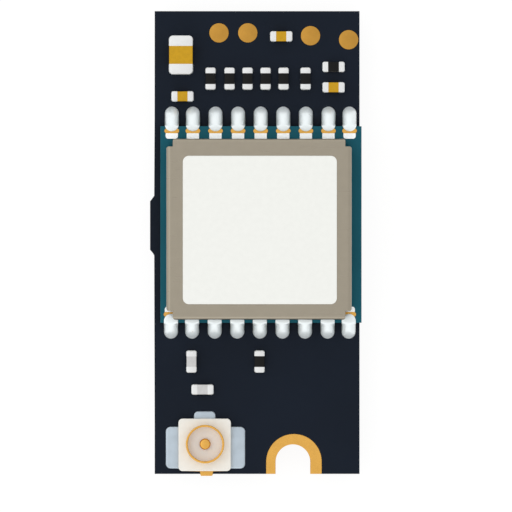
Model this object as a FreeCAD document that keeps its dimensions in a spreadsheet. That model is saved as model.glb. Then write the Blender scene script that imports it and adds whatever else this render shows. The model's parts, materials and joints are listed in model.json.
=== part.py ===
import FreeCAD, Part

import os
import re

import Sketcher

# Satellite receiver module on a plug-in carrier board. Millimetres.
# X runs across the board, Y along it, Z up out of the component side.
# The origin is the middle of the carrier board's outline, level with the plug's mating face.

doc = FreeCAD.newDocument("satellite_receiver")
sheet = doc.addObject("Spreadsheet::Sheet", "sizes")

DRIVING_SIZES = {
    # Carrier board and the heights of its plug and copper
    "plug_height": 1.10,
    "board_thickness": 1.00,
    "board_left_margin": 0.286,
    "module_overhang": 0.096,
    "tab_reach": 0.23,
    "tab_length": 2.94,
    "tab_chamfer": 0.265,
    "tab_drop": 0.048,
    "plating": 0.03,
    # Castellated receiver module
    "column_pitch": 1.1225,
    "end_pitch": 1.046,
    "end_margin_left": 0.567,
    "end_margin_right": 0.596,
    "lower_row_shift": 0.04,
    "module_depth": 9.76,
    "module_thickness": 0.80,
    "module_standoff": 0.05,
    # Solder joints, castellation slots, rims and pads
    "solder_width": 0.70,
    "solder_length": 1.235,
    "upper_solder_reach": 0.253,
    "lower_solder_reach": 0.444,
    "solder_cap": 0.05,
    "solder_foot": 0.06,
    "solder_bulge": 1.50,
    "slot_lap": 0.08,
    "rim_width": 0.725,
    "rim_depth": 0.24,
    "upper_rim_inset": 0.11,
    "lower_rim_inset": 0.30,
    "module_pad_width": 0.61,
    "module_pad_corner": 0.13,
    "module_pad_reach": 0.80,
    "end_pad_reach": 0.62,
    # Shield can and its label
    "can_margin_left": 0.308,
    "can_margin_right": 0.497,
    "can_margin_upper": 0.630,
    "can_margin_lower": 0.163,
    "can_height": 1.70,
    "can_sheet": 0.15,
    "can_bend": 0.20,
    "can_corner": 0.11,
    "can_notch_width": 0.315,
    "can_notch_upper": 0.385,
    "can_notch_lower": 0.43,
    "relief_height": 0.14,
    "relief_clearance": 0.05,
    "label_margin_left": 0.813,
    "label_margin_right": 0.735,
    "label_margin_upper": 0.846,
    "label_margin_lower": 0.764,
    "label_corner": 0.30,
    "label_thickness": 0.06,
    # Chips under the can
    "receiver_side": 4.00,
    "receiver_height": 0.85,
    "oscillator_length": 2.00,
    "oscillator_width": 1.60,
    "oscillator_height": 0.55,
    "crystal_length": 2.00,
    "crystal_width": 1.20,
    "crystal_height": 0.45,
    "lid_margin": 0.12,
    "lid_thickness": 0.15,
    "filter_length": 1.40,
    "filter_width": 1.10,
    "filter_height": 0.50,
    "amplifier_length": 1.50,
    "amplifier_width": 1.00,
    "amplifier_height": 0.55,
    "inner_chip_length": 1.00,
    "inner_chip_width": 0.50,
    "inner_chip_height": 0.50,
    "inner_chip_pitch": 1.30,
    "receiver_lap": 0.40,
    "lidded_inset": 1.60,
    "oscillator_rise": 2.40,
    "crystal_rise": 0.40,
    "filter_shift": 0.60,
    "filter_gap": 0.20,
    "amplifier_gap": 0.50,
    "inner_chip_gap": 0.30,
    # Small chips on the carrier board
    "chip_length": 1.10,
    "chip_width": 0.51,
    "chip_band": 0.51,
    "chip_corner": 0.10,
    "resistor_height": 0.35,
    "capacitor_height": 0.50,
    "inductor_height": 0.50,
    "bulk_length": 1.93,
    "bulk_width": 1.19,
    "bulk_band": 0.894,
    "bulk_corner": 0.20,
    "bulk_height": 0.85,
    "end_cap_proud": 0.012,
    "chip_solder": 0.03,
    "chip_solder_inset": 0.03,
    # Places of the small chips above the module
    "left_chip_gap": 0.25,
    "left_chip_inset": 0.832,
    "bulk_gap": 0.836,
    "bulk_inset": 0.71,
    "resistor_row_gap": 0.836,
    "resistor_pitch": 0.895,
    "resistor_row_x": -0.030,
    "resistor_first_extra": 0.05,
    "resistor_last_extra": 0.198,
    "right_chip_gap": 0.697,
    "right_chip_spacing": 0.509,
    "right_chip_inset": 0.743,
    "top_chip_x": 1.198,
    "top_chip_inset": 1.260,
    "upper_margin": 1.218,
    # Test pads
    "test_pad_radius": 0.484,
    "test_pad_first_x": -1.895,
    "test_pad_second_x": -0.463,
    "test_pad_third_x": 2.654,
    "test_pad_fourth_margin": 0.059,
    "test_pad_left_inset": 1.082,
    "test_pad_third_inset": 1.222,
    "test_pad_fourth_inset": 1.422,
    # Places of the small chips below the module
    "lower_chip_gap": 0.588,
    "lower_resistor_x": 0.119,
    "lower_inductor_inset": 1.574,
    "level_inductor_gap": 0.586,
    "level_inductor_inset": 1.826,
    # Coaxial antenna socket
    "socket_gap": 0.822,
    "socket_inset": 1.182,
    "socket_side": 2.604,
    "socket_corner": 0.20,
    "socket_base": 0.10,
    "socket_insulator": 0.37,
    "socket_height": 1.25,
    "socket_solder": 0.08,
    "socket_lower_margin": 0.147,
    "ring_radius": 0.954,
    "ring_wall": 0.10,
    "ring_groove": 0.03,
    "groove_width": 0.20,
    "ring_leg": 0.30,
    "ring_shift_x": 0.021,
    "ring_shift_y": 0.040,
    "stem_width": 0.30,
    "pin_radius": 0.275,
    "pin_drop": 0.25,
    "pin_round": 0.10,
    "strip_width": 0.45,
    "side_land_length": 2.087,
    "side_land_drop": 0.142,
    "side_land_left": 0.635,
    "side_land_right": 0.712,
    "side_land_lap": 0.42,
    "side_land_corner": 0.24,
    "signal_land_width": 1.078,
    "signal_land_reach": 0.367,
    "signal_land_lap": 0.30,
    "signal_land_corner": 0.22,
    "tail_width": 0.62,
    "tail_reach": 0.245,
    "tail_shift": 0.093,
    "tail_corner": 0.07,
    "tail_land_inset": 0.05,
    # Screw notch
    "notch_x": 1.780,
    "notch_radius": 0.861,
    "notch_rise": 0.606,
    "notch_land_radius": 1.382,
    "notch_land_shift": 0.048,
    # Board-to-board plug on the underside
    "plug_inset": 2.60,
    "plug_width": 2.00,
    "plug_end_block": 0.50,
    "contact_end_gap": 0.26,
    "plug_wall": 0.49,
    "plug_floor": 0.35,
    "contact_sheet": 0.08,
    "contact_width": 0.18,
    "contact_pitch": 0.40,
    "contact_tail": 0.35,
    "contact_inner_leg": 0.60,
    "hold_down_sheet": 0.10,
    "hold_down_width": 1.20,
    "hold_down_foot": 0.35,
    "hold_down_rise": 0.60,
}
CONTACTS_PER_ROW = 12
COLUMNS = 9
RESISTORS_IN_ROW = 6
INNER_CHIPS = 5
OVERCUT = 1.0
CLOSE = 1e-4

for row_number, (alias, size) in enumerate(DRIVING_SIZES.items(), start=1):
    sheet.set(f"A{row_number}", alias)
    sheet.set(f"B{row_number}", str(size))
    sheet.setAlias(f"B{row_number}", alias)
doc.recompute()

# Heights
BOARD_TOP = "(plug_height + board_thickness)"
MODULE_BOTTOM = f"({BOARD_TOP} + module_standoff)"
MODULE_TOP = f"({MODULE_BOTTOM} + module_thickness)"
CAN_TOP = f"({MODULE_TOP} + can_height)"
SOLDER_TOP = f"({MODULE_TOP} + plating + solder_cap)"
CHIP_BOTTOM = f"({BOARD_TOP} + chip_solder)"

# Module and board outline, as a chain of gaps and pieces
INNER_COLUMNS_SPAN = f"{COLUMNS - 3} * column_pitch"
MODULE_WIDTH = f"({INNER_COLUMNS_SPAN} + 2 * end_pitch + end_margin_left + end_margin_right)"
BOARD_WIDTH = f"({MODULE_WIDTH} + board_left_margin - module_overhang)"
UPPER_ZONE = (
    "(solder_length - upper_solder_reach + left_chip_gap + chip_width"
    " + bulk_gap + bulk_length + upper_margin)"
)
LOWER_ZONE = (
    "(solder_length - lower_solder_reach + lower_chip_gap + chip_length + level_inductor_gap"
    " + chip_width + socket_gap + signal_land_reach + socket_side + socket_lower_margin)"
)
BOARD_LENGTH = f"({UPPER_ZONE} + module_depth + {LOWER_ZONE})"
BOARD_LEFT = f"(-{BOARD_WIDTH} / 2)"
BOARD_RIGHT = f"({BOARD_WIDTH} / 2)"
BOARD_UPPER = f"({BOARD_LENGTH} / 2)"
BOARD_LOWER = f"(-{BOARD_LENGTH} / 2)"
MODULE_LEFT = f"({BOARD_LEFT} + board_left_margin)"
MODULE_RIGHT = f"({MODULE_LEFT} + {MODULE_WIDTH})"
MODULE_UPPER = f"({BOARD_UPPER} - {UPPER_ZONE})"
MODULE_LOWER = f"({MODULE_UPPER} - module_depth)"
UPPER_TOE = f"({MODULE_UPPER} + solder_length - upper_solder_reach)"
LOWER_TOE = f"({MODULE_LOWER} - solder_length + lower_solder_reach)"

# Shield can outline
CAN_LEFT = f"({MODULE_LEFT} + can_margin_left)"
CAN_RIGHT = f"({MODULE_RIGHT} - can_margin_right)"
CAN_UPPER = f"({MODULE_UPPER} - can_margin_upper)"
CAN_LOWER = f"({MODULE_LOWER} + can_margin_lower)"
CAN_X = f"(({CAN_LEFT} + {CAN_RIGHT}) / 2)"
CAN_Y = f"(({CAN_LOWER} + {CAN_UPPER}) / 2)"

# Antenna socket and screw notch
SOCKET_X = f"({BOARD_LEFT} + socket_inset + socket_side / 2)"
SOCKET_Y = f"({BOARD_LOWER} + socket_lower_margin + socket_side / 2)"
SOCKET_BASE = f"({BOARD_TOP} + socket_solder)"
INSULATOR_BOTTOM = f"({SOCKET_BASE} + socket_base)"
INSULATOR_TOP = f"({INSULATOR_BOTTOM} + socket_insulator)"
RING_TOP = f"({BOARD_TOP} + socket_height)"
NOTCH_Y = f"({BOARD_LOWER} + notch_rise)"

# Plug on the underside, as long as its row of contacts and its two end blocks
PLUG_Y = f"({BOARD_UPPER} - plug_inset)"
CONTACT_SPAN = f"({CONTACTS_PER_ROW - 1} * contact_pitch)"
PLUG_LENGTH = f"({CONTACT_SPAN} + contact_width + 2 * (contact_end_gap + plug_end_block))"

nodes = []


def with_sheet(formula):
    """Points each size's name in a formula at its spreadsheet cell."""

    def pointed(word):
        name = word.group()
        return f"sizes.{name}" if name in DRIVING_SIZES else name

    return re.sub(r"[a-z_]+", pointed, formula)


def value(formula):
    return float(sheet.evalExpression(with_sheet(formula)))


def bind(item, **formulas):
    for name, formula in formulas.items():
        item.setExpression(name.replace("__", "."), with_sheet(formula))


def place(item, x="0", y="0", z="0", turn=None):
    if turn:
        item.Placement.Rotation = FreeCAD.Rotation(*turn)
    bind(item, Placement__Base__x=x, Placement__Base__y=y, Placement__Base__z=z)
    return item


def node(label, item):
    """Marks a finished piece: its label names its file."""
    item.Label = label
    nodes.append(item)
    return item


# Solid primitives and their combinations


def block(name, left, right, lower, upper, bottom, top):
    item = doc.addObject("Part::Box", name)
    bind(
        item,
        Length=f"({right}) - ({left})",
        Width=f"({upper}) - ({lower})",
        Height=f"({top}) - ({bottom})",
    )
    return place(item, left, lower, bottom)


def rod(name, radius, x, y, bottom, top):
    item = doc.addObject("Part::Cylinder", name)
    bind(item, Radius=radius, Height=f"({top}) - ({bottom})")
    return place(item, x, y, bottom)


def fuse(name, pieces):
    item = doc.addObject("Part::MultiFuse", name)
    item.Shapes = pieces
    return item


def cut(name, base, tool):
    item = doc.addObject("Part::Cut", name)
    item.Base = base
    item.Tool = tool
    return item


def common(name, first, second):
    item = doc.addObject("Part::Common", name)
    item.Base = first
    item.Tool = second
    return item


# Bodies made from sketches


def new_body(name):
    body = doc.addObject("PartDesign::Body", name)
    body.AllowCompound = True
    return body


def new_sketch(body, height="0", plane="XY_Plane"):
    sketch = body.newObject("Sketcher::SketchObject", f"{body.Name}_sketch")
    origin_planes = {feature.Role: feature for feature in body.Origin.OriginFeatures}
    sketch.AttachmentSupport = [(origin_planes[plane], "")]
    sketch.MapMode = "FlatFace"
    bind(sketch, AttachmentOffset__Base__z=height)
    return sketch


def pin_point(sketch, geometry, point, x, y):
    for direction, formula in (("DistanceX", x), ("DistanceY", y)):
        index = sketch.addConstraint(
            Sketcher.Constraint(direction, -1, 1, geometry, point, value(formula))
        )
        sketch.setExpression(f"Constraints[{index}]", with_sheet(formula))


def add_polygon(sketch, corners):
    points = [FreeCAD.Vector(value(x), value(y), 0) for x, y in corners]
    first = sketch.GeometryCount
    count = len(points)
    for i in range(count):
        sketch.addGeometry(Part.LineSegment(points[i], points[(i + 1) % count]), False)
    for i in range(count):
        after = first + (i + 1) % count
        sketch.addConstraint(Sketcher.Constraint("Coincident", first + i, 2, after, 1))
    for i, (x, y) in enumerate(corners):
        pin_point(sketch, first + i, 1, x, y)


def add_rectangle(sketch, left, right, lower, upper):
    add_polygon(sketch, [(left, lower), (right, lower), (right, upper), (left, upper)])


def add_circle(sketch, x, y, radius):
    centre = FreeCAD.Vector(value(x), value(y), 0)
    circle = Part.Circle(centre, FreeCAD.Vector(0, 0, 1), value(radius))
    geometry = sketch.addGeometry(circle, False)
    pin_point(sketch, geometry, 3, x, y)
    index = sketch.addConstraint(Sketcher.Constraint("Radius", geometry, value(radius)))
    sketch.setExpression(f"Constraints[{index}]", with_sheet(radius))


def pad(body, sketch, length, midplane=False):
    feature = body.newObject("PartDesign::Pad", f"{body.Name}_pad")
    feature.Profile = sketch
    feature.Midplane = midplane
    bind(feature, Length=length)
    return feature


def pocket_upward(body, sketch, length):
    feature = body.newObject("PartDesign::Pocket", f"{body.Name}_pocket")
    feature.Profile = sketch
    feature.Reversed = True
    bind(feature, Length=length)
    return feature


def round_edges(body, base, wanted, radius):
    """Rounds the edges of the base feature that the wanted test picks."""
    doc.recompute()
    names = [f"Edge{i}" for i, edge in enumerate(base.Shape.Edges, start=1) if wanted(edge)]
    feature = body.newObject("PartDesign::Fillet", f"{body.Name}_round")
    feature.Base = (base, names)
    bind(feature, Radius=radius)
    return feature


def is_upright(edge):
    box = edge.BoundBox
    return box.ZLength > CLOSE and box.XLength < CLOSE and box.YLength < CLOSE


def rounded_plate(name, width, depth, thickness, corner):
    """A plate about its own middle, standing on its own zero height, with round corners."""
    body = new_body(name)
    sketch = new_sketch(body)
    add_rectangle(sketch, f"-{width} / 2", f"{width} / 2", f"-{depth} / 2", f"{depth} / 2")
    plate = pad(body, sketch, thickness)
    round_edges(body, plate, is_upright, corner)
    return body


# Carrier board and its copper


def notch_shape(name, radius, shift, bottom, top):
    """The round-ended notch, or its land, open over the board's lower edge."""
    x = f"notch_x + {shift}"
    arch = rod(f"{name}_arch", radius, x, NOTCH_Y, bottom, top)
    mouth = block(
        f"{name}_mouth", f"{x} - {radius}", f"{x} + {radius}", BOARD_LOWER, NOTCH_Y, bottom, top
    )
    return fuse(name, [arch, mouth])


def make_carrier_board():
    body = new_body("board_outline")
    tab_middle = f"({MODULE_LOWER} + module_depth / 2 - tab_drop)"
    tab_upper = f"{tab_middle} + tab_length / 2"
    tab_lower = f"{tab_middle} - tab_length / 2"
    tab_left = f"{BOARD_LEFT} - tab_reach"
    sketch = new_sketch(body)
    add_polygon(
        sketch,
        [
            (BOARD_LEFT, BOARD_LOWER),
            (BOARD_RIGHT, BOARD_LOWER),
            (BOARD_RIGHT, BOARD_UPPER),
            (BOARD_LEFT, BOARD_UPPER),
            (BOARD_LEFT, tab_upper),
            (tab_left, f"{tab_upper} - tab_chamfer"),
            (tab_left, f"{tab_lower} + tab_chamfer"),
            (BOARD_LEFT, tab_lower),
        ],
    )
    pad(body, sketch, "board_thickness")
    place(body, z="plug_height")
    bored = "(notch_radius + plating)"
    hole = notch_shape("notch_hole", bored, "0", "plug_height", BOARD_TOP)
    node("carrier_board", cut("carrier_board", body, hole))


def make_mounting_notch():
    """Gold land above and below, and the barrel that lines the notch."""
    land_bottom = "(plug_height - plating)"
    land_top = f"({BOARD_TOP} + plating)"
    land = "notch_land_radius"
    shift = "notch_land_shift"
    upper_land = notch_shape("upper_land", land, shift, BOARD_TOP, land_top)
    lower_land = notch_shape("lower_land", land, shift, land_bottom, "plug_height")
    bored = "(notch_radius + plating)"
    barrel = notch_shape("notch_barrel", bored, "0", "plug_height", BOARD_TOP)
    copper = fuse("notch_copper", [upper_land, lower_land, barrel])
    opening = notch_shape("notch_opening", "notch_radius", "0", land_bottom, land_top)
    skirt = block(
        "below_edge",
        "notch_x - notch_land_radius * 2",
        "notch_x + notch_land_radius * 2",
        f"{BOARD_LOWER} - notch_land_radius * 2",
        BOARD_LOWER,
        land_bottom,
        land_top,
    )
    node("notch_plating", cut("notch_plating", copper, fuse("notch_void", [opening, skirt])))


def make_test_pads():
    places = [
        ("test_pad_first_x", "test_pad_left_inset"),
        ("test_pad_second_x", "test_pad_left_inset"),
        ("test_pad_third_x", "test_pad_third_inset"),
        (f"{BOARD_RIGHT} - test_pad_fourth_margin - test_pad_radius", "test_pad_fourth_inset"),
    ]
    for number, (x, inset) in enumerate(places, start=1):
        y = f"{BOARD_UPPER} - {inset}"
        top = f"{BOARD_TOP} + plating"
        label = f"test_pad_{number}"
        node(label, rod(label, "test_pad_radius", x, y, BOARD_TOP, top))


# Receiver module


class Row:
    """One row of castellations: its edge, its outward direction and its own insets."""

    def __init__(self, name, edge, outward, shift, reach, rim_inset):
        self.name = name
        self.edge = edge
        self.outward = outward
        self.shift = shift
        self.reach = reach
        self.rim_inset = rim_inset

    def inward(self, distance):
        """Y at a distance in from the module's edge."""
        return f"({self.edge} - {self.outward} * ({distance}))"

    def column_x(self, column):
        """Inner columns keep one pitch; the two end columns stand at their own."""
        start = f"{MODULE_LEFT} + end_margin_left"
        if column == 0:
            steps = "0"
        elif column == COLUMNS - 1:
            steps = f"{INNER_COLUMNS_SPAN} + 2 * end_pitch"
        else:
            steps = f"end_pitch + {column - 1} * column_pitch"
        return f"({start} + {steps} - {self.shift})"


UPPER_ROW = Row("upper", MODULE_UPPER, "1", "0", "upper_solder_reach", "upper_rim_inset")
LOWER_ROW = Row("lower", MODULE_LOWER, "-1", "lower_row_shift", "lower_solder_reach", "lower_rim_inset")
ROWS = (UPPER_ROW, LOWER_ROW)


def across(row, name, left, right, near, far, bottom, top):
    """A block between two distances in from the row's edge, near and far, negative outside it."""
    if row is UPPER_ROW:
        return block(name, left, right, row.inward(far), row.inward(near), bottom, top)
    return block(name, left, right, row.inward(near), row.inward(far), bottom, top)


def stadium(row, column, name, radius, bottom, top):
    """A round-ended column of one solder joint's outline, or of its slot when the radius is smaller."""
    x = row.column_x(column)
    inner = f"({row.reach} - solder_width / 2)"
    outer = f"({row.reach} - solder_length + solder_width / 2)"
    pieces = [
        rod(f"{name}_inner", radius, x, row.inward(inner), bottom, top),
        rod(f"{name}_outer", radius, x, row.inward(outer), bottom, top),
        across(row, f"{name}_middle", f"{x} - {radius}", f"{x} + {radius}", outer, inner, bottom, top),
    ]
    return fuse(name, pieces)


def make_rim(row, column, name):
    """The gold bar round the slot's inner end, with round ends."""
    x = row.column_x(column)
    near = row.rim_inset
    far = f"({near} + rim_depth)"
    middle = row.inward(f"{near} + rim_depth / 2")
    straight = "(rim_width / 2 - rim_depth / 2)"
    top = f"{MODULE_TOP} + plating"
    pieces = [
        across(row, f"{name}_bar", f"{x} - {straight}", f"{x} + {straight}", near, far, MODULE_TOP, top),
        rod(f"{name}_left", "rim_depth / 2", f"{x} - {straight}", middle, MODULE_TOP, top),
        rod(f"{name}_right", "rim_depth / 2", f"{x} + {straight}", middle, MODULE_TOP, top),
    ]
    return fuse(name, pieces)


def make_module_pad(row, column, name):
    """The tinned pad behind the rim, with two round corners at its inner end."""
    x = row.column_x(column)
    at_end = column in (0, COLUMNS - 1)
    reach = "end_pad_reach" if row is UPPER_ROW and at_end else "module_pad_reach"
    near = f"({row.rim_inset} + rim_depth)"
    round_start = f"({reach} - module_pad_corner)"
    half = "module_pad_width / 2"
    core = "(module_pad_width / 2 - module_pad_corner)"
    top = f"{MODULE_TOP} + plating"
    corner_y = row.inward(round_start)
    pieces = [
        across(row, f"{name}_wide", f"{x} - {half}", f"{x} + {half}", near, round_start, MODULE_TOP, top),
        across(row, f"{name}_end", f"{x} - {core}", f"{x} + {core}", near, reach, MODULE_TOP, top),
        rod(f"{name}_left", "module_pad_corner", f"{x} - {core}", corner_y, MODULE_TOP, top),
        rod(f"{name}_right", "module_pad_corner", f"{x} + {core}", corner_y, MODULE_TOP, top),
    ]
    return fuse(name, pieces)


def make_module():
    slot = "(solder_width / 2 - slot_lap)"
    above = f"{SOLDER_TOP} + {OVERCUT}"
    below = BOARD_TOP
    drills = []
    bores = []
    rims = []
    pads = []
    for row in ROWS:
        for column in range(COLUMNS):
            tag = f"{row.name}_{column + 1}"
            drills.append(stadium(row, column, f"drill_{tag}", f"({slot} + plating)", below, above))
            bores.append(stadium(row, column, f"bore_{tag}", slot, below, above))
            rims.append(make_rim(row, column, f"rim_{tag}"))
            pads.append(make_module_pad(row, column, f"pad_{tag}"))
    blank = block(
        "module_blank", MODULE_LEFT, MODULE_RIGHT, MODULE_LOWER, MODULE_UPPER, MODULE_BOTTOM, MODULE_TOP
    )
    drilled = fuse("module_drills", drills)
    barrels = common("slot_barrels", drilled, blank)
    copper = fuse("castellation_copper", [barrels] + rims)
    board = node("module_board", cut("module_board", blank, drilled))
    plated = node("castellations", cut("castellations", copper, fuse("module_bores", bores)))
    node("module_pads", cut("module_pads", fuse("pad_copper", pads), plated))
    return board, plated


def make_solder_joints(module_board, castellations):
    """Each joint fills its slot, caps the rim and falls from the module's edge in a full, round curve."""
    number = 0
    for row in ROWS:
        for column in range(COLUMNS):
            number += 1
            label = f"solder_joint_{number:02d}"
            x = row.column_x(column)
            radius = "(solder_width / 2)"
            column_of_solder = stadium(row, column, f"{label}_column", radius, BOARD_TOP, SOLDER_TOP)
            run = f"(solder_length - {row.reach})"
            rise = f"({SOLDER_TOP} - {BOARD_TOP} - solder_foot)"
            chord = f"sqrt({run} ^ 2 + {rise} ^ 2)"
            depth = f"(sqrt(solder_bulge ^ 2 - ({run} ^ 2 + {rise} ^ 2) / 4) / {chord})"
            bulge = doc.addObject("Part::Cylinder", f"{label}_bulge")
            bind(bulge, Radius="solder_bulge", Height="2 * solder_width")
            place(
                bulge,
                f"{x} - solder_width",
                row.inward(f"-({run} / 2 - {rise} * {depth})"),
                f"{BOARD_TOP} + solder_foot + {rise} / 2 - {run} * {depth}",
                turn=(FreeCAD.Vector(0, 1, 0), 90),
            )
            fillet = common(f"{label}_fillet", column_of_solder, bulge)
            clear_of_board = cut(f"{label}_seated", fillet, module_board)
            node(label, cut(label, clear_of_board, castellations))


# Shield can


def make_can():
    half_width = f"(({CAN_RIGHT} - {CAN_LEFT}) / 2)"
    half_depth = f"(({CAN_UPPER} - {CAN_LOWER}) / 2)"
    shoulder_x = f"({half_width} - can_notch_width)"
    shoulder_upper = f"({half_depth} - can_notch_upper)"
    shoulder_lower = f"(can_notch_lower - {half_depth})"

    bent = new_body("can_bends")
    sketch = new_sketch(bent)
    add_rectangle(sketch, f"-{half_width}", half_width, f"-{half_depth}", half_depth)
    shell = pad(bent, sketch, "can_height")
    top = value("can_height")
    round_edges(bent, shell, lambda edge: edge.BoundBox.ZMin > top - CLOSE, "can_bend")
    place(bent, CAN_X, CAN_Y, MODULE_TOP)

    outline = new_body("can_outline")
    sketch = new_sketch(outline)
    add_polygon(
        sketch,
        [
            (f"-{shoulder_x}", f"-{half_depth}"),
            (shoulder_x, f"-{half_depth}"),
            (shoulder_x, shoulder_lower),
            (half_width, shoulder_lower),
            (half_width, shoulder_upper),
            (shoulder_x, shoulder_upper),
            (shoulder_x, half_depth),
            (f"-{shoulder_x}", half_depth),
            (f"-{shoulder_x}", shoulder_upper),
            (f"-{half_width}", shoulder_upper),
            (f"-{half_width}", shoulder_lower),
            (f"-{shoulder_x}", shoulder_lower),
        ],
    )
    column = pad(outline, sketch, "can_height")
    far_x = value(half_width)
    far_y = value(half_depth)

    def is_outer_corner(edge):
        middle = edge.CenterOfMass
        at_side = abs(abs(middle.x) - far_x) < CLOSE
        at_end = abs(abs(middle.y) - far_y) < CLOSE
        return is_upright(edge) and (at_side or at_end)

    round_edges(outline, column, is_outer_corner, "can_corner")
    place(outline, CAN_X, CAN_Y, MODULE_TOP)

    cavity = block(
        "can_cavity",
        f"{CAN_LEFT} + can_sheet",
        f"{CAN_RIGHT} - can_sheet",
        f"{CAN_LOWER} + can_sheet",
        f"{CAN_UPPER} - can_sheet",
        MODULE_TOP,
        f"{CAN_TOP} - can_sheet",
    )
    voids = fuse("can_voids", [cavity] + can_reliefs())
    folded = common("can_folded", bent, outline)
    node("shield_can", cut("shield_can", folded, voids))


def can_reliefs():
    """Small openings at the wall feet, where the module's pads and rims pass under."""
    top = f"{MODULE_TOP} + relief_height"
    half = "(rim_width / 2 + relief_clearance)"
    reliefs = []
    for row, edge, columns in (
        (UPPER_ROW, CAN_UPPER, range(1, COLUMNS - 1)),
        (LOWER_ROW, CAN_LOWER, range(COLUMNS)),
    ):
        outside = f"({row.outward} * ({row.edge} - {edge}))"
        for column in columns:
            x = row.column_x(column)
            name = f"relief_{row.name}_{column + 1}"
            inside = f"({outside} + 2 * can_sheet)"
            reliefs.append(
                across(row, name, f"{x} - {half}", f"{x} + {half}", "0", inside, MODULE_TOP, top)
            )
    pad_end = f"({MODULE_LOWER} + module_pad_reach + relief_clearance)"
    for name, left, right in (
        ("relief_left", CAN_LEFT, f"{CAN_LEFT} + 2 * can_sheet"),
        ("relief_right", f"{CAN_RIGHT} - 2 * can_sheet", CAN_RIGHT),
    ):
        reliefs.append(block(name, left, right, CAN_LOWER, pad_end, MODULE_TOP, top))
    return reliefs


def make_label():
    left = f"({CAN_LEFT} + label_margin_left)"
    right = f"({CAN_RIGHT} - label_margin_right)"
    lower = f"({CAN_LOWER} + label_margin_lower)"
    upper = f"({CAN_UPPER} - label_margin_upper)"
    width = f"({right} - {left})"
    depth = f"({upper} - {lower})"
    label = rounded_plate("module_label", width, depth, "label_thickness", "label_corner")
    place(label, f"({left} + {right}) / 2", f"({lower} + {upper}) / 2", CAN_TOP)
    node("module_label", label)


# Chips under the can, placed from the can's middle


def inner_block(name, length, width, height, x, y, bottom=MODULE_TOP):
    middle_x = f"({CAN_X} + {x})"
    middle_y = f"({CAN_Y} + {y})"
    return block(
        name,
        f"{middle_x} - {length} / 2",
        f"{middle_x} + {length} / 2",
        f"{middle_y} - {width} / 2",
        f"{middle_y} + {width} / 2",
        bottom,
        f"{bottom} + {height}",
    )


def lidded_chip(label, size, x, y):
    """A ceramic tray with a metal lid on it."""
    length = f"{size}_length"
    width = f"{size}_width"
    height = f"{size}_height"
    tray = inner_block(f"{label}_tray", length, width, height, x, y)
    lid_length = f"({length} - 2 * lid_margin)"
    lid_width = f"({width} - 2 * lid_margin)"
    lid_bottom = f"({MODULE_TOP} + {height})"
    lid = inner_block(f"{label}_lid", lid_length, lid_width, "lid_thickness", x, y, lid_bottom)
    node(label, fuse(label, [tray, lid]))


def make_inner_chips():
    receiver_x = "(receiver_side / 2 - receiver_lap)"
    side = "receiver_side"
    above_receiver = "(receiver_side / 2 + filter_gap + filter_width / 2)"
    oscillator_x = "(-oscillator_length / 2 - lidded_inset)"
    crystal_x = "(-crystal_length / 2 - lidded_inset)"
    node("receiver_chip", inner_block("receiver_chip", side, side, "receiver_height", receiver_x, "0"))
    lidded_chip("reference_oscillator", "oscillator", oscillator_x, "oscillator_rise")
    lidded_chip("clock_crystal", "crystal", crystal_x, "crystal_rise")
    node(
        "band_filter",
        inner_block(
            "band_filter",
            "filter_length",
            "filter_width",
            "filter_height",
            "filter_shift",
            above_receiver,
        ),
    )
    node(
        "noise_amplifier",
        inner_block(
            "noise_amplifier",
            "amplifier_length",
            "amplifier_width",
            "amplifier_height",
            "(filter_shift + filter_length / 2 + amplifier_gap + amplifier_length / 2)",
            above_receiver,
        ),
    )
    below_receiver = "(-receiver_side / 2 - inner_chip_gap - inner_chip_width / 2)"
    chips = []
    for number in range(INNER_CHIPS):
        x = f"({number - (INNER_CHIPS - 1) / 2} * inner_chip_pitch)"
        chips.append(
            inner_block(
                f"inner_chip_{number + 1}",
                "inner_chip_length",
                "inner_chip_width",
                "inner_chip_height",
                x,
                below_receiver,
            )
        )
    node("module_capacitors", fuse("module_capacitors", chips))


# Small chips on the carrier board

UPRIGHT = (FreeCAD.Vector(0, 0, 1), 90)


def make_chip(label, size, height, x, y, upright):
    """A ceramic body between two end caps that stand a little proud of it."""
    length = f"{size}_length"
    width = f"{size}_width"
    band = f"{size}_band"
    body = new_body(label)
    core = new_sketch(body)
    half_core = f"({width} / 2 - end_cap_proud)"
    add_rectangle(core, f"-{length} / 4", f"{length} / 4", f"-{half_core}", half_core)
    pad(body, core, f"{height} - end_cap_proud")
    caps = new_sketch(body)
    add_rectangle(caps, f"-{length} / 2", f"-{band} / 2", f"-{width} / 2", f"{width} / 2")
    add_rectangle(caps, f"{band} / 2", f"{length} / 2", f"-{width} / 2", f"{width} / 2")
    capped = pad(body, caps, height)
    end = value(f"{length} / 2")
    round_edges(
        body,
        capped,
        lambda edge: is_upright(edge) and abs(abs(edge.CenterOfMass.x) - end) < CLOSE,
        f"{size}_corner",
    )
    place(body, x, y, CHIP_BOTTOM, turn=UPRIGHT if upright else None)
    node(label, body)
    return chip_solder(label, size, x, y, upright)


def chip_solder(label, size, x, y, upright):
    """The solder under a chip's two end caps."""
    inner = f"({size}_band / 2 + chip_solder_inset)"
    outer = f"({size}_length / 2 - chip_solder_inset)"
    half = f"({size}_width / 2 - chip_solder_inset)"
    layers = []
    for side, start, stop in (("first", inner, outer), ("second", f"-{outer}", f"-{inner}")):
        along = (f"{x} + {start}", f"{x} + {stop}")
        aside = (f"{y} - {half}", f"{y} + {half}")
        if upright:
            along = (f"{x} - {half}", f"{x} + {half}")
            aside = (f"{y} + {start}", f"{y} + {stop}")
        layers.append(block(f"{label}_{side}_solder", *along, *aside, BOARD_TOP, CHIP_BOTTOM))
    return layers


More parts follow.
